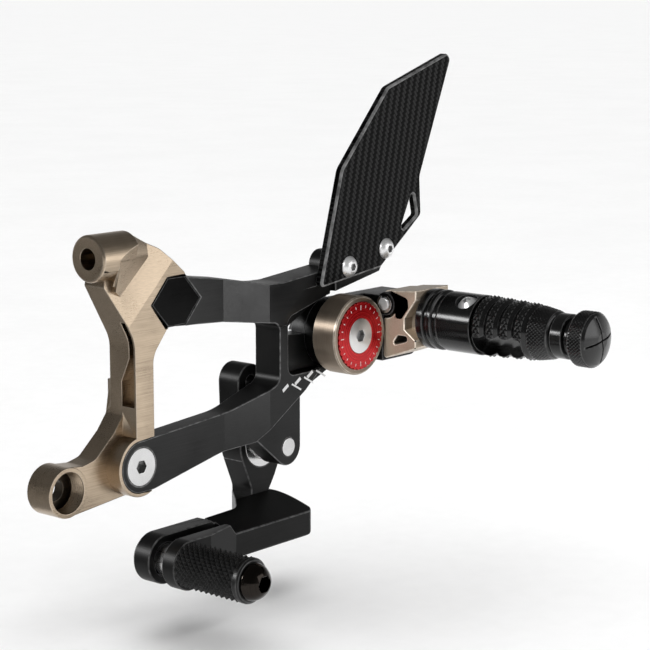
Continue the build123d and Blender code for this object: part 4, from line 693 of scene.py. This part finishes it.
class Repeat(Group):
    """A Geometry Nodes tree for what repeats; each kind is built once."""

    LONG_MARK_EXTRA = 0.9
    THREAD_SIDES = 72

    def __init__(self, name: str, inputs: Sockets, numbers: tuple[str, ...]) -> None:
        """Start a tree that takes counts or vectors, plain numbers and a material, and gives out a mesh."""
        inputs = inputs | dict.fromkeys(numbers, NUMBER) | {"Material": PAINT}
        super().__init__(name, inputs, {"Mesh": SHAPE}, "GeometryNodeTree")

    def end(self, instances: Socket) -> NodeTree:
        """End the tree with plain geometry and its material.

        Args:
            instances: What the tree has placed.

        Returns:
            The tree.
        """
        real = self.node("GeometryNodeRealizeInstances", {0: instances}).outputs[0]
        inputs = {"Geometry": real, "Shade Smooth": False}
        flat = self.node("GeometryNodeSetShadeSmooth", inputs).outputs[0]
        inputs = {"Geometry": flat, "Material": self.given["Material"]}
        return self.close({"Mesh": self.node("GeometryNodeSetMaterial", inputs).outputs[0]})

    def spoke(self, angle: Input) -> Socket:
        """The way out from an axis that runs outboard, at an angle from up."""
        return self.point(self.math("SINE", angle), 0.0, self.math("COSINE", angle))

    def centre(self, depth: Input) -> Socket:
        """The point on the tree's axis that lies so far outboard."""
        return self.point(self.given["Axis X"], self.math("MULTIPLY", depth, -1.0), self.given["Axis Z"])

    def stamp(self, places: Socket, turn: Input, length: Input) -> NodeTree:
        """End the tree with a block on each place.

        Args:
            places: The places.
            turn: Angle of a block about the outboard axis.
            length: Its length.

        Returns:
            The tree.
        """
        scale = self.point(self.given["Width"], self.given["Proud"], length)
        block = self.node("GeometryNodeMeshCube", {"Size": (1.0, 1.0, 1.0)}).outputs[0]
        turned = self.node("FunctionNodeEulerToRotation", {0: self.point(y=turn)}).outputs[0]
        inputs = {"Points": places, "Instance": block, "Rotation": turned, "Scale": scale}
        return self.end(self.node("GeometryNodeInstanceOnPoints", inputs).outputs[0])

    @staticmethod
    @cache
    def diamonds() -> NodeTree:
        """Staggered rows of four-sided points on a tapered sleeve whose axis runs outboard.

        Returns:
            The tree.
        """
        bench = Repeat("Diamond sleeve", {"Columns": WHOLE, "Rows": WHOLE}, (
            "Start", "Length", "Start Radius", "End Radius", "Height", "Gap At", "Gap Half",
            "Axis X", "Axis Z",
        ))
        size = bench.given
        index = bench.node("GeometryNodeInputIndex").outputs[0]
        column = bench.math("FLOORED_MODULO", index, size["Columns"])
        row = bench.math("FLOOR", bench.math("DIVIDE", bench.math("ADD", index, 0.5), size["Columns"]))
        stagger = bench.math("MULTIPLY", bench.math("FLOORED_MODULO", row, 2.0), 0.5)
        share = bench.math("DIVIDE", bench.math("ADD", column, stagger), size["Columns"])
        angle = bench.math("MULTIPLY", share, math.tau)
        along = bench.math("DIVIDE", bench.math("ADD", row, 0.5), size["Rows"])
        radius = bench.mix(along, size["Start Radius"], size["End Radius"], Kind.FLOAT)
        spoke = bench.spoke(angle)
        middle = bench.centre(bench.math("MULTIPLY_ADD", along, size["Length"], size["Start"]))
        places = bench.node("GeometryNodePoints", {
            "Count": bench.math("MULTIPLY", size["Columns"], size["Rows"]),
            "Position": bench.vector("ADD", bench.scaled(spoke, radius), middle),
        })
        tooth = bench.node("GeometryNodeMeshCone", {
            "Vertices": 4, "Radius Top": 0.0, "Radius Bottom": 1.0, "Depth": 1.0,
        }, fill_type="NONE")
        upright = bench.node("FunctionNodeAlignRotationToVector", {"Vector": spoke}, axis="Z").outputs[0]
        facing = bench.node(
            "FunctionNodeAlignRotationToVector", {"Rotation": upright, "Vector": (0.0, 1.0, 0.0)},
            axis="Y", pivot_axis="Z",
        )
        half_width = bench.math("DIVIDE", bench.math("MULTIPLY", radius, math.pi), size["Columns"])
        half_length = bench.math("DIVIDE", size["Length"], size["Rows"])
        from_gap = bench.math("PINGPONG", bench.math("SUBTRACT", angle, size["Gap At"]), math.pi)
        placed = bench.node("GeometryNodeInstanceOnPoints", {
            "Points": places.outputs[0], "Instance": tooth.outputs[0], "Rotation": facing.outputs[0],
            "Scale": bench.point(half_width, half_length, size["Height"]),
            "Selection": bench.math("GREATER_THAN", from_gap, size["Gap Half"]),
        })
        return bench.end(placed.outputs[0])

    @staticmethod
    @cache
    def ring_marks() -> NodeTree:
        """Marks round a ring that faces outboard, with every few of them long.

        Returns:
            The tree.
        """
        bench = Repeat("Ring marks", {"Count": WHOLE, "Long Every": WHOLE}, (
            "Radius", "Length", "Width", "Proud", "Face", "Axis X", "Axis Z",
        ))
        size = bench.given
        index = bench.node("GeometryNodeInputIndex").outputs[0]
        angle = bench.math("MULTIPLY", bench.math("DIVIDE", index, size["Count"]), math.tau)
        long = bench.math("LESS_THAN", bench.math("FLOORED_MODULO", index, size["Long Every"]), 0.5)
        extra = bench.math("MULTIPLY_ADD", long, Repeat.LONG_MARK_EXTRA, 1.0)
        length = bench.math("MULTIPLY", size["Length"], extra)
        middle = bench.math("SUBTRACT", size["Radius"], bench.math("MULTIPLY", length, 0.5))
        position = bench.vector("ADD", bench.scaled(bench.spoke(angle), middle), bench.centre(size["Face"]))
        places = bench.node("GeometryNodePoints", {"Count": size["Count"], "Position": position})
        return bench.stamp(places.outputs[0], angle, length)

    @staticmethod
    @cache
    def row_marks() -> NodeTree:
        """Marks along a straight line on a face that looks outboard.

        Returns:
            The tree.
        """
        inputs = {"Count": WHOLE, "Start": VECTOR, "Step": VECTOR}
        bench = Repeat("Row marks", inputs, ("Turn", "Length", "Width", "Proud"))
        size = bench.given
        inputs = {"Count": size["Count"], "Start Location": size["Start"], "Offset": size["Step"]}
        line = bench.node("GeometryNodeMeshLine", inputs)
        return bench.stamp(line.outputs[0], size["Turn"], size["Length"])

    @staticmethod
    @cache
    def threads() -> NodeTree:
        """Ridges round the wall of a bore whose axis runs outboard.

        Returns:
            The tree.
        """
        numbers = ("Radius", "Height", "Pitch", "Start", "Axis X", "Axis Z")
        bench = Repeat("Thread ridges", {"Count": WHOLE}, numbers)
        size = bench.given
        crest = bench.math("SUBTRACT", size["Radius"], size["Height"])
        half = bench.math("MULTIPLY", size["Pitch"], 0.5)
        ridge = bench.node("GeometryNodeJoinGeometry")
        for low, high, lift in ((size["Radius"], crest, 0.0), (crest, size["Radius"], half)):
            flank = bench.node("GeometryNodeMeshCone", {
                "Vertices": Repeat.THREAD_SIDES, "Radius Top": high, "Radius Bottom": low, "Depth": half,
            }, fill_type="NONE").outputs[0]
            inputs = {"Geometry": flank, "Translation": bench.point(z=lift)}
            bench.fill(ridge, {0: bench.node("GeometryNodeTransform", inputs).outputs[0]})
        step = bench.point(y=bench.math("MULTIPLY", size["Pitch"], -1.0))
        inputs = {"Count": size["Count"], "Start Location": bench.centre(size["Start"]), "Offset": step}
        line = bench.node("GeometryNodeMeshLine", inputs)
        facing = bench.node("FunctionNodeEulerToRotation", {0: (math.pi / 2, 0.0, 0.0)})
        placed = bench.node("GeometryNodeInstanceOnPoints", {
            "Points": line.outputs[0], "Instance": ridge.outputs[0], "Rotation": facing.outputs[0],
        })
        return bench.end(placed.outputs[0])

    @staticmethod
    def make(name: str, tree: NodeTree, sizes: dict[str, Input], body: Body, node: str) -> None:
        """Run a tree once and keep its result as a plain mesh.

        Args:
            name: The piece's name.
            tree: The tree.
            sizes: Values of its inputs, by name.
            body: The body that the piece rides on.
            node: A frame node; not used.
        """
        piece = put(name, bpy.data.meshes.new(name))
        modifier = piece.modifiers.new("Repeat", "NODES")
        modifier.node_group = tree
        for item in tree.interface.items_tree:
            if item.in_out == "INPUT":
                modifier[item.identifier] = sizes[item.name]
        shown = piece.evaluated_get(bpy.context.evaluated_depsgraph_get())
        piece.data = bpy.data.meshes.new_from_object(shown)
        piece.modifiers.clear()
        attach(piece, body.value)
        LOG.info("%s: %d faces", name, len(piece.data.polygons))


@dataclass
class Sleeve:
    """A knurled or moulded stretch of a turned piece."""

    name: str
    node: str
    finish: Finish
    body: Body
    start: float
    length: float
    start_radius: float
    end_radius: float
    columns: int
    rows: int
    height: float
    gap_at: float = 0.0
    gap_half: float = NO_GAP

    def build(self) -> None:
        """Make the points of the sleeve."""
        axis = axis_of(self.node)
        Repeat.make(self.name, Repeat.diamonds(), {
            "Columns": self.columns, "Rows": self.rows, "Start": self.start, "Length": self.length,
            "Start Radius": self.start_radius, "End Radius": self.end_radius, "Height": self.height,
            "Gap At": self.gap_at, "Gap Half": self.gap_half, "Axis X": axis[0], "Axis Z": axis[2],
            "Material": self.finish.material(),
        }, self.body, self.node)


@dataclass
class Adapter:
    """Bronze-coloured adapter that bolts to the frame."""

    edge_mm: float = 0.35
    bolt_edge_mm: float = 0.15
    thread_count: int = 6
    thread_radius: float = 8.32 * MM
    thread_height: float = 0.42 * MM
    thread_pitch: float = 1.15 * MM
    thread_start: float = 5.6 * MM
    bore_shade: float = 0.72
    bore_mouth: float = 12.4 * MM
    boss_axis_mm: Pair = (-13.2, 91.7)
    boss_radius_mm: float = 9.5
    boss_end_mm: float = 32.5
    boss_cut_mm: float = 11.0
    blend_steps: int = 20
    blend_turn: float = math.radians(100.0)
    blend_face_mm: tuple[Place, ...] = (
        (21.4, -19.5, 78.3), (25.0, -18.0, 75.8), (41.0, -18.0, 90.1), (41.0, -17.3, 95.5))
    blend_root_mm: float = -12.0
    blend_crease_deg: float = 14.0

    def build(self) -> None:
        """Soften and paint the adapter and the plate's bolts, and cut the thread of the lower boss."""
        Repeat.make("lower_boss_thread", Repeat.threads(), {
            "Count": self.thread_count, "Radius": self.thread_radius, "Height": self.thread_height,
            "Pitch": self.thread_pitch, "Start": self.thread_start, "Axis X": 0.0, "Axis Z": 0.0,
            "Material": BRONZE.material(),
        }, Body.PLATE, "adapter_bracket")
        # The adapter marks no painted shade of its own; only its bore gets painted shade.
        self.shade_bore(Softened("adapter_bracket", BRONZE, self.edge_mm, Body.PLATE, shade_reach_mm=0.0).build())
        self.blend_boss()
        Softened("lower_plate_bolt", STEEL_LOWER, self.bolt_edge_mm, Body.PLATE, shade_reach_mm=SOCKET_SHADE_REACH_MM).build()
        paint("upper_plate_bolt", STEEL)

    def blend_boss(self) -> None:
        """Fill the corner between the upper boss and the bevel of the face with one sloping blend."""
        corners = [(x, y, z) for x, face, z in self.blend_face_mm for y in (face, self.blend_root_mm)]
        for step in range(self.blend_steps + 1):
            out = math.sin(self.blend_turn * step / self.blend_steps)
            up = math.cos(self.blend_turn * step / self.blend_steps)
            corners.append((
                self.boss_end_mm - self.boss_cut_mm * out,
                self.boss_axis_mm[0] - self.boss_radius_mm * out,
                self.boss_axis_mm[1] + self.boss_radius_mm * up,
            ))
        work = bmesh.new()
        verts = [work.verts.new(Vector(corner) * MM) for corner in corners]
        hull = bmesh.ops.convex_hull(work, input=verts)
        bmesh.ops.delete(work, geom=hull["geom_interior"] + hull["geom_unused"], context="VERTS")
        merge_flats(work)
        for edge in work.edges:
            edge.smooth = edge.calc_face_angle(0.0) < math.radians(self.blend_crease_deg)
        keep("boss_blend", work, BRONZE, Body.PLATE)

    def shade_bore(self, piece: Object) -> None:
        """Paint shade inside the lower boss: the faces of its bore get a set share of painted shade.

        Args:
            piece: The adapter.
        """
        shade_marks = piece.data.attributes.new("recess", "FLOAT", "FACE")
        for face, mark in zip(piece.data.polygons, shade_marks.data):
            across = math.hypot(face.center.x, face.center.z)
            inside = across < self.thread_radius and face.center.y > -self.bore_mouth
            mark.value = self.bore_shade if inside else 0.0


@dataclass
class SidePlate:
    """Black two-armed plate, its cap and its scale."""

    edge_mm: float = 0.45
    cap_edge_mm: float = 0.15
    mark_count: int = 3
    mark_step: Pair = (-8.1 * MM, -1.8 * MM)
    mark_proud: float = 0.12 * MM
    stroke_first: Pair = (138.8 * MM, 28.8 * MM)
    stroke_turn: float = math.radians(119.0)
    stroke_size: Pair = (0.8 * MM, 7.0 * MM)
    dash_first: Pair = (131.6 * MM, 29.4 * MM)
    dash_turn: float = math.radians(58.0)
    dash_size: Pair = (1.5 * MM, 4.2 * MM)

    def build(self) -> None:
        """Soften the plate and its cap and lay the scale on the hub's face."""
        Softened("side_plate", BLACK, self.edge_mm, Body.PLATE).build()
        Softened("hex_cap", BLACK_CAP, self.cap_edge_mm, Body.PLATE).build()
        self.mark("plate_strokes", self.stroke_first, self.stroke_turn, self.stroke_size)
        self.mark("plate_dashes", self.dash_first, self.dash_turn, self.dash_size)

    def mark(self, name: str, first: Pair, turn: float, size: Pair) -> None:
        """Lay one row of the scale.

        Args:
            name: The piece's name.
            first: X and Z of the row's first mark.
            turn: Angle of a mark from upright.
            size: Width and length of a mark.
        """
        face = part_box("side_plate")[0].y
        Repeat.make(name, Repeat.row_marks(), {
            "Count": self.mark_count, "Start": (first[0], face, first[1]),
            "Step": (self.mark_step[0], 0.0, self.mark_step[1]), "Turn": turn, "Width": size[0],
            "Length": size[1], "Proud": self.mark_proud, "Material": INK.material(),
        }, Body.PLATE, "side_plate")


@dataclass
class HeelGuard:
    """Carbon guard and its two screws."""

    edge_mm: float = 0.2
    screw_edge_mm: float = 0.12
    # Share of the edge line, partly scuffed cloth and partly a painted highlight, on the guard's sloping
    # faces.
    chamfer_wear_and_highlight: float = 0.9

    def build(self) -> None:
        """Soften and paint the guard and its screws."""
        Softened("heel_guard", CARBON, self.edge_mm, Body.PLATE, chamfer_wear_and_highlight=self.chamfer_wear_and_highlight).build()
        Softened("heel_guard_screws", STEEL_DOME, self.screw_edge_mm, Body.PLATE,
                 shade_reach_mm=SOCKET_SHADE_REACH_MM).build()


@dataclass
class Adjuster:
    """Clamped barrel with its red index ring, and the clevis behind it."""

    edge_mm: float = 0.25
    clevis_edge_mm: float = 0.45
    ring_edge_mm: float = 0.12
    bolt_edge_mm: float = 0.15
    nut_edge_mm: float = 0.12
    mark_count: int = 24
    mark_long_every: int = 6
    mark_length: float = 1.1 * MM
    mark_width: float = 0.32 * MM
    mark_proud: float = 0.10 * MM
    mark_inset: float = 1.4 * MM

    def build(self) -> None:
        """Soften the turned stack and the clevis, and mark the ring."""
        Softened("adjuster_barrel", BRONZE_TURNED, self.edge_mm, Body.CARRIER).build()
        Softened("index_ring", RED, self.ring_edge_mm, Body.CARRIER).build()
        Softened("clamp_bolt", STEEL_RING, self.bolt_edge_mm, Body.CARRIER, shade_reach_mm=SOCKET_SHADE_REACH_MM).build()
        Softened("peg_carrier", BLACK, self.clevis_edge_mm, Body.CARRIER).build()
        Softened("fold_pin", STEEL_DOME, self.edge_mm, Body.CARRIER).build()
        for node in ("clamp_washer", "clamp_nut", "fold_pin_clip"):
            Softened(node, STEEL, self.nut_edge_mm, Body.CARRIER).build()
        low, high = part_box("index_ring")
        axis = axis_of("index_ring")
        Repeat.make("ring_marks", Repeat.ring_marks(), {
            "Count": self.mark_count, "Long Every": self.mark_long_every,
            "Radius": (high.x - low.x) / 2 - self.mark_inset, "Length": self.mark_length,
            "Width": self.mark_width, "Proud": self.mark_proud, "Face": -low.y, "Axis X": axis[0],
            "Axis Z": axis[2], "Material": INK.material(),
        }, Body.CARRIER, "index_ring")


@dataclass
class FootPeg:
    """Folding foot peg with ribs, knurl and a slit knob."""

    edge_mm: float = 0.3
    knuckle_edge_mm: float = 0.55
    screw_edge_mm: float = 0.15
    rib_count: int = 4
    rib_pitch: float = 7.0 * MM
    rib_land: float = 3.08 * MM
    rib_rows: int = 3
    rib_columns: int = 30
    rib_height: float = 0.62 * MM
    rib_drop: float = 1.3 * MM
    rib_start_radius: float = 12.9 * MM
    slot_at: float = math.radians(224.0)
    slot_half: float = math.radians(36.0)
    slot_end: float = 25.6 * MM
    knurl_start_radius: float = 11.6 * MM
    knurl_end_radius: float = 10.2 * MM
    knurl_margin: float = 0.9 * MM
    neck_length: float = 10.4 * MM
    knurl_columns: int = 44
    knurl_height: float = 0.40 * MM
    row_pitch: float = 0.9 * MM
    knob_columns: int = 48
    knob_edge: float = 1.5 * MM
    knob_dome: float = 3.9 * MM

    def build(self) -> None:
        """Soften the turned pieces and the knuckle, then lay the knurls."""
        Softened("peg_knuckle", BRONZE_TRUSS, self.knuckle_edge_mm, Body.PEG, shade_reach_mm=SOCKET_SHADE_REACH_MM).build()
        for node in ("peg_base_ring", "peg_collar", "peg_grip", "peg_knob"):
            Softened(node, BLACK_TURNED, self.edge_mm, Body.PEG).build()
        Softened("collar_screw", STEEL_DOME, self.screw_edge_mm, Body.PEG, shade_reach_mm=SOCKET_SHADE_REACH_MM).build()
        paint("peg_spindle", STEEL)
        paint("fold_spring", STEEL)
        self.knurl_ribs()
        self.knurl_sleeve()
        self.knurl_knob()

    def knurl_ribs(self) -> None:
        """Teeth on the crest of each rib, open where the slot crosses it."""
        root = -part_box("peg_grip")[1].y
        for rib in range(self.rib_count):
            crest = self.rib_start_radius - self.rib_drop * rib / self.rib_count
            start = rib * self.rib_pitch + (self.rib_pitch - self.rib_land) / 2
            gap = self.slot_half if start < self.slot_end else NO_GAP
            Sleeve(f"rib_knurl_{rib + 1}", "peg_grip", BLACK_TURNED, Body.PEG, root + start,
                   self.rib_land, crest, crest, self.rib_columns, self.rib_rows, self.rib_height,
                   self.slot_at, gap).build()

    def knurl_sleeve(self) -> None:
        """Points on the tapered sleeve between the ribs and the neck."""
        low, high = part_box("peg_grip")
        start = -high.y + self.rib_count * self.rib_pitch + self.knurl_margin
        length = -low.y - self.neck_length - self.knurl_margin - start
        Sleeve("grip_knurl", "peg_grip", BLACK_TURNED, Body.PEG, start, length, self.knurl_start_radius,
               self.knurl_end_radius, self.knurl_columns, round(length / self.row_pitch),
               self.knurl_height).build()

    def knurl_knob(self) -> None:
        """Points round the rim of the end knob."""
        low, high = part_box("peg_knob")
        radius = (high.x - low.x) / 2
        start = -high.y + self.knob_edge
        length = -low.y - self.knob_dome - start
        Sleeve("knob_knurl", "peg_knob", BLACK_TURNED, Body.PEG, start, length, radius, radius,
               self.knob_columns, round(length / self.row_pitch), self.knurl_height).build()


@dataclass
class GearLever:
    """Gear lever with its pivot."""

    edge_mm: float = 0.5
    bearing_edge_mm: float = 0.2
    pivot_edge_mm: float = 0.25

    def build(self) -> None:
        """Soften the lever and its pivot."""
        Softened("gear_lever", BLACK, self.edge_mm, Body.LEVER).build()
        Softened("pivot_bearing_outer", STEEL, self.bearing_edge_mm, Body.LEVER).build()
        for node in ("pivot_bearing_inner", "pivot_spacer", "pivot_bolt"):
            Softened(node, STEEL, self.pivot_edge_mm, Body.PLATE).build()


@dataclass
class ToePeg:
    """Toe peg with its moulded rubber."""

    edge_mm: float = 0.3
    fine_edge_mm: float = 0.2
    columns: int = 20
    rows: int = 22
    height: float = 0.95 * MM
    margin: float = 0.9 * MM

    def build(self) -> None:
        """Soften the pieces and lay the diamonds of the rubber."""
        Softened("toe_hub", STEEL, self.edge_mm, Body.TOE).build()
        Softened("toe_rubber", RUBBER, self.fine_edge_mm, Body.TOE).build()
        Softened("toe_end_washer", BLACK_TOE, self.edge_mm, Body.TOE).build()
        Softened("toe_end_screw", DARK_STEEL, self.fine_edge_mm, Body.TOE).build()
        low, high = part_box("toe_rubber")
        radius = (high.x - low.x) / 2
        length = high.y - low.y - 2 * self.margin
        Sleeve("toe_diamonds", "toe_rubber", RUBBER, Body.TOE, -high.y + self.margin, length, radius,
               radius, self.columns, self.rows, self.height).build()


def point_at(thing: Object, at: Place, target: Vector) -> None:
    """Stand a lamp or a camera at a place and turn it to a point."""
    thing.location = at
    thing.rotation_euler = (target - Vector(at)).to_track_quat("-Z", "Y").to_euler()


def limit_light(lamp: Object, pieces: tuple[str, ...], reach: Reach = Reach.ONLY) -> None:
    """Let a lamp light only some pieces, or all others.

    Args:
        lamp: The lamp.
        pieces: Names of the pieces.
        reach: Whether it lights these or spares them.
    """
    lit = bpy.data.collections.new(f"lit_by_{lamp.name}")
    for piece in pieces:
        lit.objects.link(bpy.data.objects[piece])
    for entry in lit.collection_objects:
        entry.light_linking.link_state = reach.value
    lamp.light_linking.receiver_collection = lit


@dataclass
class Lamp:
    """A soft rectangular studio lamp."""

    name: str
    at: Place
    size: Pair
    watts: float
    pieces: tuple[str, ...]
    reach: Reach = Reach.ONLY

    def build(self, target: Vector) -> None:
        """Place the lamp, point it and choose the pieces that it lights.

        Args:
            target: The point that it looks at.
        """
        light = bpy.data.lights.new(self.name, "AREA")
        light.shape = "RECTANGLE"
        light.size, light.size_y = self.size
        light.energy = self.watts
        lamp = put(self.name, light)
        point_at(lamp, self.at, target)
        limit_light(lamp, self.pieces, self.reach)


TURNED_BLACK = ("peg_base_ring_skin", "peg_collar_skin", "peg_grip_skin", "peg_knob_skin", "grip_knurl",
                "knob_knurl", "rib_knurl_1", "rib_knurl_2", "rib_knurl_3", "rib_knurl_4")
MILLED_BLACK = ("side_plate_skin", "peg_carrier_skin", "gear_lever_skin", "toe_rubber_skin", "toe_diamonds",
                "toe_end_washer_skin", "toe_end_screw_skin")
MILLED_BRONZE = ("adapter_bracket_skin", "boss_blend")
BRIGHT = ("adjuster_barrel_skin", "peg_knuckle_skin", "fold_pin_skin", "heel_guard_screws_skin",
          "collar_screw_skin", "clamp_bolt_skin")


@dataclass
class Studio:
    """Pale floor, soft lamps and the camera at the photograph's viewing angle."""

    camera_at: Place = (-511.0 * MM, -577.4 * MM, 198.5 * MM)
    camera_aim: Place = (126.9 * MM, -38.0 * MM, 53.3 * MM)
    camera_angle: float = math.radians(18.7)
    camera_near: float = 0.02
    floor_drop: float = 20.0 * MM
    floor_half: float = 40.0
    floor_light: float = 3.1
    floor_softness: float = math.radians(80.0)
    sky_dark: float = 0.14
    sky_bright: float = 0.75
    sky_behind: Pair = (-0.5, 0.4)
    sky_height: Pair = (0.12, 0.50)
    lamps: list[Lamp] = field(default_factory=lambda: [
        Lamp("front", (0.45, -1.2, 0.42), (1.0, 0.8), 5.2, MILLED_BRONZE, Reach.ALL_BUT),
        Lamp("bevel", (0.70, -1.02, 0.135), (0.36, 0.36), 1.1, MILLED_BRONZE),
        Lamp("strip", (-0.60, 0.62, 0.34), (0.5, 0.26), 7.0, TURNED_BLACK + MILLED_BLACK),
        Lamp("spark", (-1.05, -0.12, 0.62), (0.22, 0.22), 14.0, BRIGHT),
        Lamp("arm", (0.28, -0.48, 0.0), (0.25, 0.06), 1.1, ("side_plate_skin",)),
    ])
    card_at: Pair = (-0.26, 0.22)
    card_size: Pair = (0.7, 0.15)
    card_near: float = 0.12
    card_lift: float = 1.5 * MM

    def build(self) -> None:
        """Set up the floor, the sky, the lamps and the camera."""
        aim = Vector(self.camera_aim)
        for lamp in self.lamps:
            lamp.build(aim)
        self.lay_floor()
        self.stand_card()
        self.light_floor()
        self.light_sky()
        self.set_camera(aim)

    def lay_floor(self) -> None:
        """Lay the floor just below the object."""
        height = CAD_BOX[0][2] - self.floor_drop
        half = self.floor_half
        mesh = bpy.data.meshes.new("floor")
        corners = [(x * half, y * half, height) for x, y in ((-1, -1), (1, -1), (1, 1), (-1, 1))]
        mesh.from_pydata(corners, [], [(0, 1, 2, 3)])
        coat(mesh, FLOOR)
        floor = put("floor", mesh)

    def stand_card(self) -> None:
        """Stand a folded grey card that only reflections show, for faces that look ahead and down."""
        foot = CAD_BOX[0][2] - self.floor_drop + self.card_lift
        middle = Vector(self.card_at)
        half = Vector((-middle.y, middle.x)).normalized() * self.card_size[0] / 2
        rows = ((middle * self.card_near, 0.0), (middle, 0.0), (middle, self.card_size[1]))
        corners = [(*(at + side), foot + lift) for at, lift in rows for side in (-half, half)]
        mesh = bpy.data.meshes.new("card")
        mesh.from_pydata(corners, [], [(0, 1, 3, 2), (2, 3, 5, 4)])
        coat(mesh, CARD)
        card = put("card", mesh)
        card.visible_camera = False
        card.visible_diffuse = False
        card.visible_shadow = False

    def light_floor(self) -> None:
        """Light the floor and the card evenly from above with a lamp of their own."""
        light = bpy.data.lights.new("floor_light", "SUN")
        light.energy = self.floor_light
        light.angle = self.floor_softness
        limit_light(put("floor_light", light), ("floor", "card"))

    def light_sky(self) -> None:
        """Light the scene from a band along the horizon, bright behind and dark ahead and overhead."""
        world = bpy.data.worlds.new("sky")
        world.use_nodes = True
        bench = Bench(world.node_tree)
        way = bench.node("ShaderNodeTexCoord").outputs["Generated"]
        parts = bench.node("ShaderNodeSeparateXYZ", {0: way}).outputs
        behind = bench.span(parts["X"], *self.sky_behind)
        low = bench.span(parts["Z"], *self.sky_height, 1.0, 0.0)
        level = bench.span(bench.math("MULTIPLY", behind, low), 0.0, 1.0, self.sky_dark, self.sky_bright)
        bench.fill(world.node_tree.nodes["Background"], {"Color": grey(1.0), "Strength": level})
        bpy.context.scene.world = world
        bpy.context.scene.view_settings.view_transform = "Standard"

    def set_camera(self, aim: Vector) -> None:
        """Place the camera.

        Args:
            aim: The point at the middle of the picture.
        """
        data = bpy.data.cameras.new("camera")
        data.angle = self.camera_angle
        data.clip_start = self.camera_near
        camera = put("camera", data)
        point_at(camera, self.camera_at, aim)
        bpy.context.scene.camera = camera


def main() -> None:
    """Build the rear set's looks and the studio."""
    logging.basicConfig(level=logging.INFO, format="%(name)s %(message)s")
    for assembly in (Adapter, SidePlate, HeelGuard, Adjuster, FootPeg, GearLever, ToePeg, Studio):
        assembly().build()
    bpy.context.view_layer.update()


if __name__ == "__main__":
    main()
